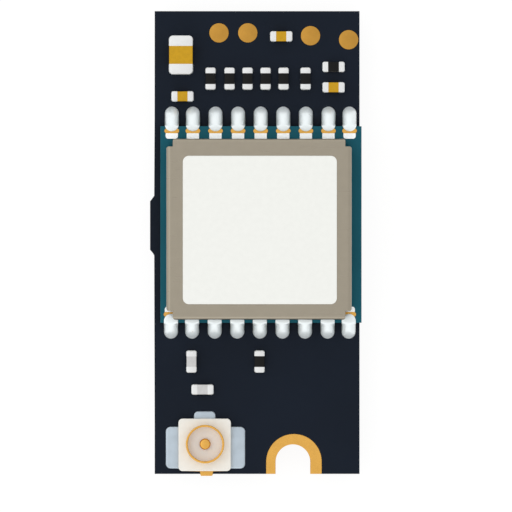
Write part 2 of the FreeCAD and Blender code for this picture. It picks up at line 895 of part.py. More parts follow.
def make_board_chips():
    layers = []
    left_x = f"({BOARD_LEFT} + left_chip_inset + chip_length / 2)"
    left_y = f"({UPPER_TOE} + left_chip_gap + chip_width / 2)"
    layers += make_chip("capacitor_1", "chip", "capacitor_height", left_x, left_y, False)

    bulk_x = f"({BOARD_LEFT} + bulk_inset + bulk_width / 2)"
    bulk_y = f"({left_y} + chip_width / 2 + bulk_gap + bulk_length / 2)"
    layers += make_chip("bulk_capacitor", "bulk", "bulk_height", bulk_x, bulk_y, True)

    top_y = f"({BOARD_UPPER} - top_chip_inset)"
    layers += make_chip("capacitor_2", "chip", "capacitor_height", "top_chip_x", top_y, False)

    right_x = f"({BOARD_RIGHT} - right_chip_inset - chip_length / 2)"
    right_y = f"({UPPER_TOE} + right_chip_gap + chip_width / 2)"
    layers += make_chip("capacitor_3", "chip", "capacitor_height", right_x, right_y, False)
    above_y = f"({right_y} + chip_width + right_chip_spacing)"
    layers += make_chip("resistor_7", "chip", "resistor_height", right_x, above_y, False)

    row_y = f"({UPPER_TOE} + resistor_row_gap + chip_length / 2)"
    for number in range(RESISTORS_IN_ROW):
        x = f"(resistor_row_x + {number - (RESISTORS_IN_ROW - 1) / 2} * resistor_pitch)"
        if number == 0:
            x = f"({x} - resistor_first_extra)"
        if number == RESISTORS_IN_ROW - 1:
            x = f"({x} + resistor_last_extra)"
        layers += make_chip(f"resistor_{number + 1}", "chip", "resistor_height", x, row_y, True)

    lower_y = f"({LOWER_TOE} - lower_chip_gap - chip_length / 2)"
    layers += make_chip("resistor_8", "chip", "resistor_height", "lower_resistor_x", lower_y, True)
    upright_x = f"({BOARD_LEFT} + lower_inductor_inset + chip_width / 2)"
    layers += make_chip("inductor_1", "chip", "inductor_height", upright_x, lower_y, True)
    level_x = f"({BOARD_LEFT} + level_inductor_inset + chip_length / 2)"
    level_y = f"({lower_y} - chip_length / 2 - level_inductor_gap - chip_width / 2)"
    layers += make_chip("inductor_2", "chip", "inductor_height", level_x, level_y, False)
    node("chip_solder", fuse("chip_solder_layers", layers))


# Coaxial antenna socket


def make_socket_ring():
    """A turned ring with a V groove for the snap round its outside and a lead-in at its top."""
    body = new_body("socket_ring")
    sketch = new_sketch(body, plane="XZ_Plane")
    inner = "(ring_radius - ring_wall)"
    waist = "(ring_radius - ring_groove)"
    rise = f"({RING_TOP} - {INSULATOR_TOP})"
    add_polygon(
        sketch,
        [
            (inner, "0"),
            ("ring_radius", "0"),
            ("ring_radius", f"{rise} / 2 - groove_width / 2"),
            (waist, f"{rise} / 2"),
            ("ring_radius", f"{rise} / 2 + groove_width / 2"),
            ("ring_radius", f"{rise} - ring_groove"),
            (waist, rise),
            (inner, rise),
        ],
    )
    turned = body.newObject("PartDesign::Revolution", "socket_ring_turned")
    turned.Profile = sketch
    turned.ReferenceAxis = (sketch, ["V_Axis"])
    turned.Angle = 360
    place(body, f"{SOCKET_X} + ring_shift_x", f"{SOCKET_Y} + ring_shift_y", INSULATOR_TOP)
    return body


def make_socket_frame():
    """The outer contact's flat frame under the insulator: two sides, a lower bar and the tail."""
    body = new_body("socket_frame")
    side = "(socket_side / 2)"
    bar = "(ring_radius - 2 * ring_wall)"
    tail_left = "(tail_shift - tail_width / 2)"
    tail_right = "(tail_shift + tail_width / 2)"
    tail_end = f"(-{side} - tail_reach)"
    sketch = new_sketch(body)
    add_polygon(
        sketch,
        [
            (f"-{side}", f"-{side}"),
            (tail_left, f"-{side}"),
            (tail_left, tail_end),
            (tail_right, tail_end),
            (tail_right, f"-{side}"),
            (side, f"-{side}"),
            (side, side),
            (bar, side),
            (bar, f"-{bar}"),
            (f"-{bar}", f"-{bar}"),
            (f"-{bar}", side),
            (f"-{side}", side),
        ],
    )
    flat = pad(body, sketch, "socket_base")
    corner = value(side)

    def is_outer_corner(edge):
        middle = edge.CenterOfMass
        at_corner = abs(abs(middle.x) - corner) < CLOSE and abs(abs(middle.y) - corner) < CLOSE
        return is_upright(edge) and at_corner

    cornered = round_edges(body, flat, is_outer_corner, "socket_corner")
    end = value(tail_end)
    round_edges(
        body,
        cornered,
        lambda edge: is_upright(edge) and abs(edge.CenterOfMass.y - end) < CLOSE,
        "tail_corner",
    )
    return place(body, SOCKET_X, SOCKET_Y, SOCKET_BASE)


def make_antenna_socket():
    """The ring stands on two flat legs, and the pin on a square stem, through the insulator."""
    ring_x = f"({SOCKET_X} + ring_shift_x)"
    ring_y = f"({SOCKET_Y} + ring_shift_y)"
    leg_inner = "(ring_radius - ring_wall)"
    leg_outer = "sqrt(ring_radius ^ 2 - ring_leg ^ 2 / 4)"
    through = (INSULATOR_BOTTOM, INSULATOR_TOP)
    leg_sides = (f"{ring_y} - ring_leg / 2", f"{ring_y} + ring_leg / 2")
    left_leg = (f"{ring_x} - {leg_outer}", f"{ring_x} - {leg_inner}")
    right_leg = (f"{ring_x} + {leg_inner}", f"{ring_x} + {leg_outer}")
    legs = fuse(
        "ring_legs",
        [
            block("left_leg", *left_leg, *leg_sides, *through),
            block("right_leg", *right_leg, *leg_sides, *through),
        ],
    )
    node(
        "antenna_outer_contact",
        fuse("antenna_outer_contact", [make_socket_ring(), legs, make_socket_frame()]),
    )

    plate = rounded_plate(
        "insulator_plate", "socket_side", "socket_side", "socket_insulator", "socket_corner"
    )
    place(plate, SOCKET_X, SOCKET_Y, INSULATOR_BOTTOM)
    stem_hole = block(
        "stem_hole",
        f"{ring_x} - stem_width / 2",
        f"{ring_x} + stem_width / 2",
        f"{ring_y} - stem_width / 2",
        f"{ring_y} + stem_width / 2",
        *through,
    )
    node(
        "antenna_insulator",
        cut("antenna_insulator", plate, fuse("insulator_holes", [legs, stem_hole])),
    )

    contact = new_body("antenna_centre_contact")
    strip = new_sketch(contact)
    strip_end = "(socket_side / 2 - ring_shift_y)"
    half_stem = "(stem_width / 2)"
    half_strip = "(strip_width / 2)"
    add_rectangle(strip, f"-{half_strip}", half_strip, f"-{half_stem}", strip_end)
    pad(contact, strip, "socket_base")
    stem_rise = "(socket_base + socket_insulator)"
    stem = new_sketch(contact)
    add_rectangle(stem, f"-{half_stem}", half_stem, f"-{half_stem}", half_stem)
    pad(contact, stem, stem_rise)
    pin = new_sketch(contact, stem_rise)
    add_circle(pin, "0", "0", "pin_radius")
    pin_rise = f"({RING_TOP} - pin_drop - {INSULATOR_TOP})"
    post = pad(contact, pin, pin_rise)
    pin_end = value(f"{stem_rise} + {pin_rise}")
    round_edges(contact, post, lambda edge: edge.BoundBox.ZMin > pin_end - CLOSE, "pin_round")
    place(contact, ring_x, ring_y, SOCKET_BASE)
    node("antenna_centre_contact", contact)
    make_socket_solder()


def make_socket_solder():
    """Solder on the two side lands, on the signal land and under the tail."""
    left = f"({SOCKET_X} - socket_side / 2)"
    right = f"({SOCKET_X} + socket_side / 2)"
    upper = f"({SOCKET_Y} + socket_side / 2)"
    lower = f"({SOCKET_Y} - socket_side / 2)"
    land_y = f"({SOCKET_Y} - side_land_drop)"
    pieces = []
    for name, reach, middle in (
        ("left_land", "side_land_left", f"{left} + (side_land_lap - side_land_left) / 2"),
        ("right_land", "side_land_right", f"{right} - (side_land_lap - side_land_right) / 2"),
    ):
        width = f"({reach} + side_land_lap)"
        land = rounded_plate(name, width, "side_land_length", "socket_solder", "side_land_corner")
        pieces.append(place(land, middle, land_y, BOARD_TOP))
    signal = rounded_plate(
        "signal_land",
        "signal_land_width",
        "(signal_land_reach + signal_land_lap)",
        "socket_solder",
        "signal_land_corner",
    )
    signal_y = f"{upper} + (signal_land_reach - signal_land_lap) / 2"
    pieces.append(place(signal, SOCKET_X, signal_y, BOARD_TOP))
    tail_x = f"({SOCKET_X} + tail_shift)"
    tail_half = "(tail_width / 2 - tail_land_inset)"
    pieces.append(
        block(
            "tail_land",
            f"{tail_x} - {tail_half}",
            f"{tail_x} + {tail_half}",
            f"{BOARD_LOWER} + tail_land_inset",
            f"{lower} + side_land_lap",
            BOARD_TOP,
            SOCKET_BASE,
        )
    )
    node("antenna_solder", fuse("antenna_solder", pieces))


# Board-to-board plug on the underside, made about its own middle


def make_plug():
    half_length = f"({PLUG_LENGTH} / 2)"
    half_width = "(plug_width / 2)"
    open_half = f"({half_length} - plug_end_block)"
    outer_face = f"({half_width} - contact_sheet)"
    inner_face = f"({outer_face} - plug_wall)"

    housing = new_body("plug_housing")
    outline = new_sketch(housing)
    add_rectangle(outline, f"-{half_length}", half_length, f"-{half_width}", half_width)
    pad(housing, outline, "plug_height")
    crest = new_sketch(housing)
    add_rectangle(crest, f"-{open_half}", open_half, f"-{half_width}", half_width)
    pocket_upward(housing, crest, "contact_sheet")
    flanks = new_sketch(housing)
    add_rectangle(flanks, f"-{open_half}", open_half, outer_face, half_width)
    add_rectangle(flanks, f"-{open_half}", open_half, f"-{half_width}", f"-{outer_face}")
    pocket_upward(housing, flanks, "plug_height")
    trough = new_sketch(housing)
    add_rectangle(trough, f"-{open_half}", open_half, f"-{inner_face}", inner_face)
    pocket_upward(housing, trough, "plug_height - plug_floor")
    place(housing, "0", PLUG_Y)
    node("plug_housing", housing)

    for label, turn in (
        ("plug_contacts_upper", None),
        ("plug_contacts_lower", (FreeCAD.Vector(0, 0, 1), 180)),
    ):
        make_contact_row(label, turn, outer_face, inner_face)
    make_hold_downs(half_length)


def make_contact_row(label, turn, outer_face, inner_face):
    """Bent strips: a tail on the board, up the wall's outside, over its crest and down inside."""
    row = new_body(label)
    profile = new_sketch(row, plane="YZ_Plane")
    half_width = "(plug_width / 2)"
    inside = f"({inner_face} - contact_sheet)"
    tail_end = f"({half_width} + contact_tail)"
    tail_bottom = "(plug_height - contact_sheet)"
    add_polygon(
        profile,
        [
            (inside, "0"),
            (half_width, "0"),
            (half_width, tail_bottom),
            (tail_end, tail_bottom),
            (tail_end, "plug_height"),
            (outer_face, "plug_height"),
            (outer_face, "contact_sheet"),
            (inner_face, "contact_sheet"),
            (inner_face, "contact_inner_leg"),
            (inside, "contact_inner_leg"),
        ],
    )
    strip = pad(row, profile, "contact_width", midplane=True)
    doc.recompute()
    across_board = [item for item in row.Origin.OriginFeatures if item.Role == "X_Axis"][0]
    pattern = row.newObject("PartDesign::LinearPattern", f"{label}_pattern")
    pattern.Originals = [strip]
    pattern.Direction = (across_board, [""])
    pattern.Occurrences = CONTACTS_PER_ROW
    bind(pattern, Length=CONTACT_SPAN)
    row.Tip = pattern
    half_span = f"({CONTACT_SPAN} / 2)"
    x = f"-{half_span}" if turn is None else half_span
    place(row, x, PLUG_Y, turn=turn)
    node(label, row)


def make_hold_downs(half_length):
    """An angle at each end of the plug: upright on the end block, foot under the board."""
    body = new_body("plug_hold_downs")
    profile = new_sketch(body, plane="XZ_Plane")
    foot_bottom = "(plug_height - hold_down_sheet)"
    upright_bottom = "(plug_height - hold_down_rise)"
    for side in ("", "-"):
        near = f"{side}{half_length}"
        middle = f"{side}({half_length} + hold_down_sheet)"
        far = f"{side}({half_length} + hold_down_foot)"
        add_polygon(
            profile,
            [
                (near, upright_bottom),
                (middle, upright_bottom),
                (middle, foot_bottom),
                (far, foot_bottom),
                (far, "plug_height"),
                (near, "plug_height"),
            ],
        )
    pad(body, profile, "hold_down_width", midplane=True)
    place(body, "0", PLUG_Y)
    node("plug_hold_downs", body)


def check_and_export():
    doc.recompute()
    for item in doc.Objects:
        for problem in ("Invalid", "Error"):
            if problem in item.State:
                raise RuntimeError(f"{item.Label} is in state {item.State}")
    for item in nodes:
        if item.Shape.isNull() or not item.Shape.isValid() or not item.Shape.Solids:
            raise RuntimeError(f"{item.Label} has no valid solid")
    os.makedirs("parts", exist_ok=True)
    for item in nodes:
        item.Shape.exportStep(f"parts/{item.Label}.step")
        print(f"{item.Label}: {len(item.Shape.Solids)} solids, {item.Shape.Volume:.4f} mm3")
    print(f"{len(nodes)} nodes")


make_carrier_board()
make_mounting_notch()
make_test_pads()
make_solder_joints(*make_module())
make_can()
make_label()
make_inner_chips()
make_board_chips()
make_antenna_socket()
make_plug()
check_and_export()
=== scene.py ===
"""Looks of a satellite receiver module on its plug-in carrier board, built round the frame."""

import json
import math
import random

import bmesh
import bpy
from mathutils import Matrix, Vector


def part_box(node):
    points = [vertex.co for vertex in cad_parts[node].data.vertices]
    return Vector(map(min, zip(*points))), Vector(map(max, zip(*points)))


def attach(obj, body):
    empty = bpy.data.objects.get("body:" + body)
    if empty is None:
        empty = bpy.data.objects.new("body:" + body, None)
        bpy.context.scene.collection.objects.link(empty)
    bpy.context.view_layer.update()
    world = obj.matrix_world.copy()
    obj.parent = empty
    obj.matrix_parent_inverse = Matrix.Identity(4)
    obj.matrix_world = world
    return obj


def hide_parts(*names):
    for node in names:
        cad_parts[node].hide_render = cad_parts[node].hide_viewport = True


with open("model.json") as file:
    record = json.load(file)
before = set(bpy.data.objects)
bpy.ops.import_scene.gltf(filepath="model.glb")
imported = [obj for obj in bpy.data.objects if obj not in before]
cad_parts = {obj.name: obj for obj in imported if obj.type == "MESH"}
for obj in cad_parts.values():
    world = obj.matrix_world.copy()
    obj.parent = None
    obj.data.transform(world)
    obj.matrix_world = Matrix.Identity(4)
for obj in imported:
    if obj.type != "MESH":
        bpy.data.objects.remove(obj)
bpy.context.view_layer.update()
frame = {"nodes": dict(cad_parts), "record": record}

MM = 0.001
SLOT_OF = {part["node"]: part["material_slot"] for part in frame["record"]["subparts"]}

# The sizes that the nodes' own boxes don't give, in millimetres

# Carrier board: edges, tab, screw notch and test pads
PLATING = 0.03
BOARD_ROUND = 0.025
TAB_REACH = 0.23
TAB_LENGTH = 2.94
TAB_CHAMFER = 0.265
TAB_DROP = 0.048
NOTCH_X = 1.780
NOTCH_RISE = 0.606
NOTCH_RADIUS = 0.861
NOTCH_LAND_RADIUS = 1.382
NOTCH_LAND_SHIFT = 0.048
NOTCH_LAND_ROUND = 0.012
TEST_PADS = 4
TEST_PAD_ROUND = 0.02

# Receiver module and its castellations
MODULE_ROUND = 0.02
COLUMNS = 9
COLUMN_PITCH = 1.1225
END_PITCH = 1.046
END_MARGIN = 0.567
LOWER_ROW_SHIFT = 0.04
SLOT_RADIUS = 0.27
RIM_WIDTH = 0.725
LOWER_PAD_REACH = 0.80

# Solder joints: plan, then the arc that they fall along, then their sides
SOLDER_HALF_WIDTH = 0.35
SOLDER_LENGTH = 1.235
UPPER_SOLDER_REACH = 0.253
LOWER_SOLDER_REACH = 0.444
SOLDER_GAP = 0.05
SOLDER_FOOT = 0.06
SOLDER_BULGE = 1.50
SOLDER_RIM = 0.02
SOLDER_SHOULDER = 0.05
SOLDER_CLIMB_ZONE = 0.14
SOLDER_DOME_POWER = 2.6
SOLDER_RING_SHARES = (0.0, 0.02, 0.06, 0.12, 0.20, 0.32, 0.48, 0.70, 1.0)
SOLDER_ARC_STEPS = 16
SOLDER_SIDE_STEPS = 10
SOLDER_FULLNESS = 0.012
SOLDER_LEAN = 0.015
SOLDER_SEED = 7
SOLDER_CUTTER_HALF_WIDTH = 0.6
SOLDER_CUTTER_DEPTH = 0.9

# Shield can and label
CAN_SHEET = 0.15
CAN_BEND = 0.20
CAN_CORNER = 0.11
CAN_NOTCH_WIDTH = 0.315
CAN_NOTCH_UPPER = 0.385
CAN_NOTCH_LOWER = 0.43
RELIEF_HEIGHT = 0.14
RELIEF_CLEARANCE = 0.05
LABEL_CORNER = 0.30
LABEL_ROUND = 0.015
LABEL_FOOT_ROUND = 0.002

# Small chips. One longer than BULK_LENGTH has the larger corners.
BULK_LENGTH = 1.5
BULK_CORNER = 0.20
BULK_EDGE = 0.07
CHIP_CORNER = 0.10
CHIP_EDGE = 0.05
CHIP_FOOT_SHARE = 0.5
CHIP_INSET = 0.012
BAND_SHARE = 0.4636
BAND_LAP = 0.02
BAND_EDGE_SHARE = 0.6
GLASS = 0.04
GLASS_LAP = 0.03
GLASS_ROUND = 0.008
GLASS_DIP_SHARE = 0.4
CERAMIC_SHARE = 0.4
CERAMIC_CORNER = 0.02
SKIRT_GAP = 0.04
SKIRT_CLIMB_SHARE = 0.30
# How far out of the cap each ring of the solder reaches, and its share of the climb
SKIRT_RINGS = ((0.010, 0.0), (0.010, 0.05), (0.007, 0.30), (0.003, 0.80), (-0.030, 1.0))

# Antenna socket
SOCKET_CORNER = 0.20
INSULATOR_ROUND = 0.05
INSULATOR_FOOT_ROUND = 0.01
RING_SHIFT = (0.021, 0.040)
RING_RADIUS = 0.954
RING_WALL = 0.10
RING_ROUND = 0.03
RING_LEG = 0.30
RING_LEG_INSET = 0.012
GROOVE_DEPTH = 0.03
GROOVE_WIDTH = 0.20
# This share of the depth is reached at this share of the width from the groove's middle
GROOVE_CURVE = (0.8, 0.15)
BASE_SHEET = 0.10
BASE_ROUND = 0.02
BASE_FOOT_ROUND = 0.01
TAIL_SHIFT = 0.093
TAIL_WIDTH = 0.62
TAIL_CORNER = 0.07
PIN_RADIUS = 0.275
PIN_ROUND = 0.10
STEM_WIDTH = 0.30
STRIP_WIDTH = 0.45
STRIP_ROUND = 0.02

# Solder lands of the socket: the two beside it, the signal's and the tail's
LAND_LAP = 0.42
SIDE_LAND_DROP = 0.142
SIDE_LAND_WIDTH = 2.087
SIDE_LAND_CORNER = 0.24
LEFT_LAND_REACH = 0.635
RIGHT_LAND_REACH = 0.712
SIGNAL_LAND_HALF_WIDTH = 0.539
SIGNAL_LAND_LAP = 0.30
SIGNAL_LAND_REACH = 0.367
SIGNAL_LAND_CORNER = 0.22
TAIL_LAND_HALF_WIDTH = 0.26
TAIL_LAND_MARGIN = 0.05
TAIL_LAND_CORNER = 0.06
LAND_INSETS = (0.0, 0.008, 0.025, 0.05, 0.09)
LAND_RIM_SHARE = 0.25

# Mesh work: tolerances, how far a cutter reaches beyond what it cuts, and steps of small curves
NEAR = 0.01
LEVEL = 1e-6
WELD = 1e-5
SOLDER_WELD = 1e-4
OVERSHOOT = 0.5
SMALLEST_CORNER = 0.02
CORNER_STEPS = 6
ROUND_STEPS = 4

# Degrees between faces: above CREASE an edge is shaded hard, below FLAT_ANGLE it is dissolved
CREASE = 38
SOLDER_CREASE = 60
FLAT_ANGLE = 0.5


def node_box(name):
    """Lowest and highest corner of a node, in millimetres."""
    low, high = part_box(name)
    return low / MM, high / MM


BOARD_LOW, BOARD_HIGH = node_box("carrier_board")
MODULE_LOW, MODULE_HIGH = node_box("module_board")
CAN_LOW, CAN_HIGH = node_box("shield_can")
INSULATOR_LOW, INSULATOR_HIGH = node_box("antenna_insulator")
NOTCH_Y = BOARD_LOW.y + NOTCH_RISE
SOCKET = (INSULATOR_LOW + INSULATOR_HIGH) / 2
SOCKET_SIDE = (INSULATOR_HIGH.x - INSULATOR_LOW.x) / 2
RING_X = SOCKET.x + RING_SHIFT[0]
RING_Y = SOCKET.y + RING_SHIFT[1]


# Materials. Every pattern is worked out in millimetres from the object's own coordinates: patches
# and grain in cells to the millimetre, tones as shares of the colour, and relief in millimetres.

# Solder mask
MASK_ROUGHNESS = 0.42
MASK_GLOSS = (MASK_ROUGHNESS - 0.05, MASK_ROUGHNESS + 0.08)
MASK_SPECULAR = 0.1
MASK_PATCHES = 0.35
MASK_TONES = (0.93, 1.07)
MASK_WEAR = 3.0
# Upright share of the surface's normal, over which the cut edge goes over to the mask
MASK_FADE = (0.1, 0.3)

# Glass laminate under the mask
LAYERS = {"Scale": 3.1, "Distortion": 2.5, "Detail": 3.0}
FIBRES = {"scale": 16.0, "detail": 3, "stretch": (0.5, 0.5, 1)}
# Layers times fibres, over which the resin goes over to glass
FIBRE_FADE = (0.1, 0.6)
RESIN_SHADE = 0.82
WEAVE = {"Scale": 0.62, "Distortion": 0.6}
LAMINATE_GRAIN = 14.0
LAMINATE_RELIEF = 0.0012

# Metals, and how far the wear of matt materials takes their roughness down and up
COAT_ROUGHNESS = 0.16
METAL_PATCHES = 2.2
METAL_WEAR = 0.07
MATT_SHINE = 0.05
MATT_DULL = 0.06

# Ivory plastic of the antenna socket
IVORY = "f2f0e9"
# Paler ivory painted on the floor inside the ring: painted light against the ring's shade
IVORY_PAINTED_RING_LIGHT = "f7fbfe"
IVORY_ROUGHNESS = 0.45
IVORY_SPECULAR = 0.25
IVORY_PATCHES = 3.3
IVORY_TONES = (0.98, 1.02)
IVORY_GRAIN = 10.0
IVORY_RELIEF = 0.0012


def linear(hex_colour):
    """A colour as it is seen, in the linear values that the shader takes."""
    channels = []
    for i in (0, 2, 4):
        c = int(hex_colour[i : i + 2], 16) / 255
        channels.append(c / 12.92 if c <= 0.04045 else ((c + 0.055) / 1.055) ** 2.4)
    return (*channels, 1.0)


def add_node(tree, kind, **values):
    """A node with its settings (lower case), and its inputs set or linked by name or as _number."""
    made = tree.nodes.new(kind)
    inputs = {}
    for name, value in values.items():
        if name[0].islower():
            setattr(made, name, value)
        else:
            inputs[name] = value
    for name, value in inputs.items():
        number = name[1:]
        socket = made.inputs[int(number) if number.isdigit() else name.replace("_", " ")]
        if isinstance(value, bpy.types.NodeSocket):
            tree.links.new(value, socket)
        else:
            socket.default_value = value
    return made


class Finish:
    """A material under construction, with the node chains that the finishes share."""

    def __init__(self, name, colour, roughness, metallic=0.0, specular=0.5):
        self.material = bpy.data.materials.new(name)
        self.material.use_nodes = True
        self.tree = self.material.node_tree
        self.shader = self.tree.nodes["Principled BSDF"]
        self.colour = linear(colour)
        self.shader.inputs["Base Color"].default_value = self.colour
        self.shader.inputs["Roughness"].default_value = roughness
        self.shader.inputs["Metallic"].default_value = metallic
        self.shader.inputs["Specular IOR Level"].default_value = specular
        self.material.diffuse_color = self.colour
        self.position = self.scaled(self.node("ShaderNodeTexCoord").outputs["Object"], 1 / MM)
        self.heights = []

    def node(self, kind, **values):
        return add_node(self.tree, kind, **values)

    def plug(self, value, name):
        """Links a value to the shader's input of this name."""
        self.tree.links.new(value, self.shader.inputs[name])

    def scaled(self, vector, scale):
        made = self.node("ShaderNodeVectorMath", operation="SCALE", Vector=vector, Scale=scale)
        return made.outputs["Vector"]

    def maths(self, operation, **values):
        made = self.node("ShaderNodeMath", operation=operation, **values)
        return made.outputs["Value"]

    def noise(self, scale, detail, stretch=None):
        """Noise of this many cells to the millimetre."""
        vector = self.position
        if stretch:
            vector = self.node("ShaderNodeMapping", Vector=vector, Scale=stretch).outputs["Vector"]
        made = self.node("ShaderNodeTexNoise", Vector=vector, Scale=scale, Detail=detail)
        return made.outputs["Fac"]

    def waves(self, axis, **values):
        """Bands that follow each other along an axis."""
        values = {"bands_direction": axis, "Vector": self.position, **values}
        return self.node("ShaderNodeTexWave", **values).outputs["Fac"]

    def spread(self, value, low, high, start=0.3, stop=0.7):
        """Maps a pattern's range on a new one."""
        made = self.node(
            "ShaderNodeMapRange",
            Value=value,
            From_Min=start,
            From_Max=stop,
            To_Min=low,
            To_Max=high,
        )
        return made.outputs["Result"]

    def blend(self, share, first, second):
        """Goes from one colour to another; 6, 7 and 2 are the node's own colour sockets."""
        made = self.node("ShaderNodeMix", data_type="RGBA", Factor=share, _6=first, _7=second)
        return made.outputs[2]

    def tint(self, pattern, darker, lighter):
        """Varies the colour between two shares of itself by a pattern, and returns it."""
        tinted = self.scaled(self.colour[:3], self.spread(pattern, darker, lighter))
        self.plug(tinted, "Base Color")
        return tinted

    def gloss(self, pattern, low, high):
        """Varies the roughness by a pattern."""
        self.plug(self.spread(pattern, low, high), "Roughness")

    def relief(self, pattern, height):
        """Adds a pattern to the relief, this many millimetres high."""
        self.heights.append(self.spread(pattern, 0.0, height * MM, 0.0, 1.0))

    def done(self):
        """Turns the sum of the reliefs into the surface's bump."""
        total = self.heights[0]
        for extra in self.heights[1:]:
            total = self.maths("ADD", _0=total, _1=extra)
        bump = self.node("ShaderNodeBump", Strength=1.0, Distance=1.0, Height=total)
        self.plug(bump.outputs["Normal"], "Normal")
        return self.material


def laminate_finish(name, mask, core):
    """Solder mask on the broad faces, bare glass laminate in layers on the cut edges."""
    finish = Finish(name, mask, MASK_ROUGHNESS, specular=MASK_SPECULAR)
    masked = finish.tint(finish.noise(MASK_PATCHES, detail=2), *MASK_TONES)
    normal = finish.node("ShaderNodeNewGeometry").outputs["True Normal"]
    upright = finish.node("ShaderNodeSeparateXYZ", Vector=normal).outputs["Z"]
    on_mask = finish.spread(finish.maths("ABSOLUTE", _0=upright), 0.0, 1.0, *MASK_FADE)
    layers = finish.waves("Z", **LAYERS)
    layered_fibres = finish.maths("MULTIPLY", _0=layers, _1=finish.noise(**FIBRES))
    glass_share = finish.spread(layered_fibres, 0.0, 1.0, *FIBRE_FADE)
    resin = tuple(c * RESIN_SHADE for c in linear(core)[:3]) + (1.0,)
    edge = finish.blend(glass_share, resin, linear(core))
    finish.plug(finish.blend(on_mask, edge, masked), "Base Color")
    weave_x, weave_y = (finish.waves(axis, **WEAVE) for axis in "XY")
    finish.relief(finish.maths("MULTIPLY", _0=weave_x, _1=weave_y), LAMINATE_RELIEF)
    finish.relief(finish.noise(LAMINATE_GRAIN, detail=2), LAMINATE_RELIEF)
    finish.gloss(finish.noise(MASK_WEAR, detail=4), *MASK_GLOSS)
    return finish.done()


def metal_finish(
    name, colour, roughness, grain, height, stretch=None, metallic=1.0, variation=0.05, coat=0.0
):
    """Metal with patches of tone, and wear and a fine grain that may run one way."""
    finish = Finish(name, colour, roughness, metallic)
    finish.shader.inputs["Coat Weight"].default_value = coat
    finish.shader.inputs["Coat Roughness"].default_value = COAT_ROUGHNESS
    finish.tint(finish.noise(METAL_PATCHES, detail=4), 1 - variation, 1 + variation)
    wear = finish.noise(grain / 2, detail=4, stretch=stretch)
    finish.gloss(wear, roughness - METAL_WEAR, roughness + METAL_WEAR)
    finish.relief(finish.noise(grain, detail=3, stretch=stretch), height)
    return finish.done()


def worn_and_grained(finish, roughness, grain, height):
    """Ends a matt finish with its wear and its grain."""
    wear = finish.noise(grain / 5, detail=3)
    finish.gloss(wear, roughness - MATT_SHINE, roughness + MATT_DULL)
    finish.relief(finish.noise(grain, detail=3), height)
    return finish.done()


def matt_finish(name, colour, roughness, grain, height, specular=0.25, variation=0.05):
    """Plastic, resin, film, ceramic or glass, mottled and finely grained."""
    finish = Finish(name, colour, roughness, specular=specular)
    finish.tint(finish.noise(grain / 3, detail=4), 1 - variation, 1 + variation)
    return worn_and_grained(finish, roughness, grain, height)


def ivory_finish():
    """Moulded ivory, with painted light: paler on the floor inside the socket's ring, against the
    shade that the ring casts there.
    """
    finish = Finish("ivory_plastic", IVORY, IVORY_ROUGHNESS, specular=IVORY_SPECULAR)
    moulded = finish.tint(finish.noise(IVORY_PATCHES, detail=4), *IVORY_TONES)
    centre = (RING_X, RING_Y, INSULATOR_HIGH.z)
    away = finish.node("ShaderNodeVectorMath", operation="DISTANCE", _0=finish.position, _1=centre)
    wall = (RING_RADIUS - RING_WALL, RING_RADIUS)
    # Painted light: the floor inside the ring is lightened to offset the shade of the ring's walls
    inside = finish.spread(away.outputs["Value"], 1.0, 0.0, *wall)
    finish.plug(finish.blend(inside, moulded, linear(IVORY_PAINTED_RING_LIGHT)), "Base Color")
    return worn_and_grained(finish, IVORY_ROUGHNESS, IVORY_GRAIN, IVORY_RELIEF)


BRUSHED = {"stretch": (0.1, 6, 1), "metallic": 0.9, "variation": 0.02}
# Slot: colour, roughness, grain in cells to the millimetre, relief in millimetres, other settings
METALS = {
    "gold": ("d8a551", 0.30, 18, 0.0005, {}),
    "test_gold": ("b8893d", 0.36, 14, 0.0014, {}),
    "tin": ("fafeff", 0.36, 16, 0.0012, {"metallic": 0.75, "variation": 0.02}),
    "solder": ("f5fdff", 0.34, 4, 0.0006, {"metallic": 0.22, "variation": 0.01, "coat": 0.5}),
    "socket_solder": ("b3bfc9", 0.40, 9, 0.0030, {"metallic": 0.8}),
    "chip_ends": ("dfe0e0", 0.42, 20, 0.0020, {"metallic": 0.6, "variation": 0.03}),
    "can_sheet": ("999182", 0.34, 7, 0.0008, BRUSHED),
    "ceramic_lid": ("b9b2a4", 0.40, 8, 0.0010, {}),
}
MATTS = {
    "label": ("f2f3ee", 0.62, 12, 0.0020, {"variation": 0.012}),
    "black_resin": ("222222", 0.55, 20, 0.0030, {}),
    "ochre_ceramic": ("c99a1c", 0.50, 22, 0.0020, {"specular": 0.15, "variation": 0.06}),
    "black_glass": ("161616", 0.34, 16, 0.0010, {"specular": 0.1}),
    "grey_ceramic": ("cccccc", 0.50, 22, 0.0020, {}),
    "white_ceramic": ("e9e7e0", 0.55, 22, 0.0020, {}),
    "plug_plastic": ("2a2a2c", 0.48, 12, 0.0015, {}),
}
FINISHES = {
    "dark_board": laminate_finish("dark_board", mask="0f1825", core="978b62"),
    "teal_board": laminate_finish("teal_board", mask="165b6b", core="a0976c"),
    "ivory_plastic": ivory_finish(),
}
for make_finish, table in ((metal_finish, METALS), (matt_finish, MATTS)):
    for slot_name, (*look, more) in table.items():
        FINISHES[slot_name] = make_finish(slot_name, *look, **more)


# Outlines and solids, in millimetres


def arc(x, y, radius, start, stop, steps):
    """Points on an arc, both ends included; angles in degrees."""
    points = []
    for i in range(steps + 1):
        angle = math.radians(start + (stop - start) * i / steps)
        points.append((x + radius * math.cos(angle), y + radius * math.sin(angle)))
    return points


def rectangle(left, right, lower, upper):
    return [(left, lower), (right, lower), (right, upper), (left, upper)]


def rounded_rectangle(left, right, lower, upper, radius, steps):
    points = []
    for x, y, start in (
        (right - radius, upper - radius, 0),
        (left + radius, upper - radius, 90),
        (left + radius, lower + radius, 180),
        (right - radius, lower + radius, 270),
    ):
        points += arc(x, y, radius, start, start + 90, steps)
    return points


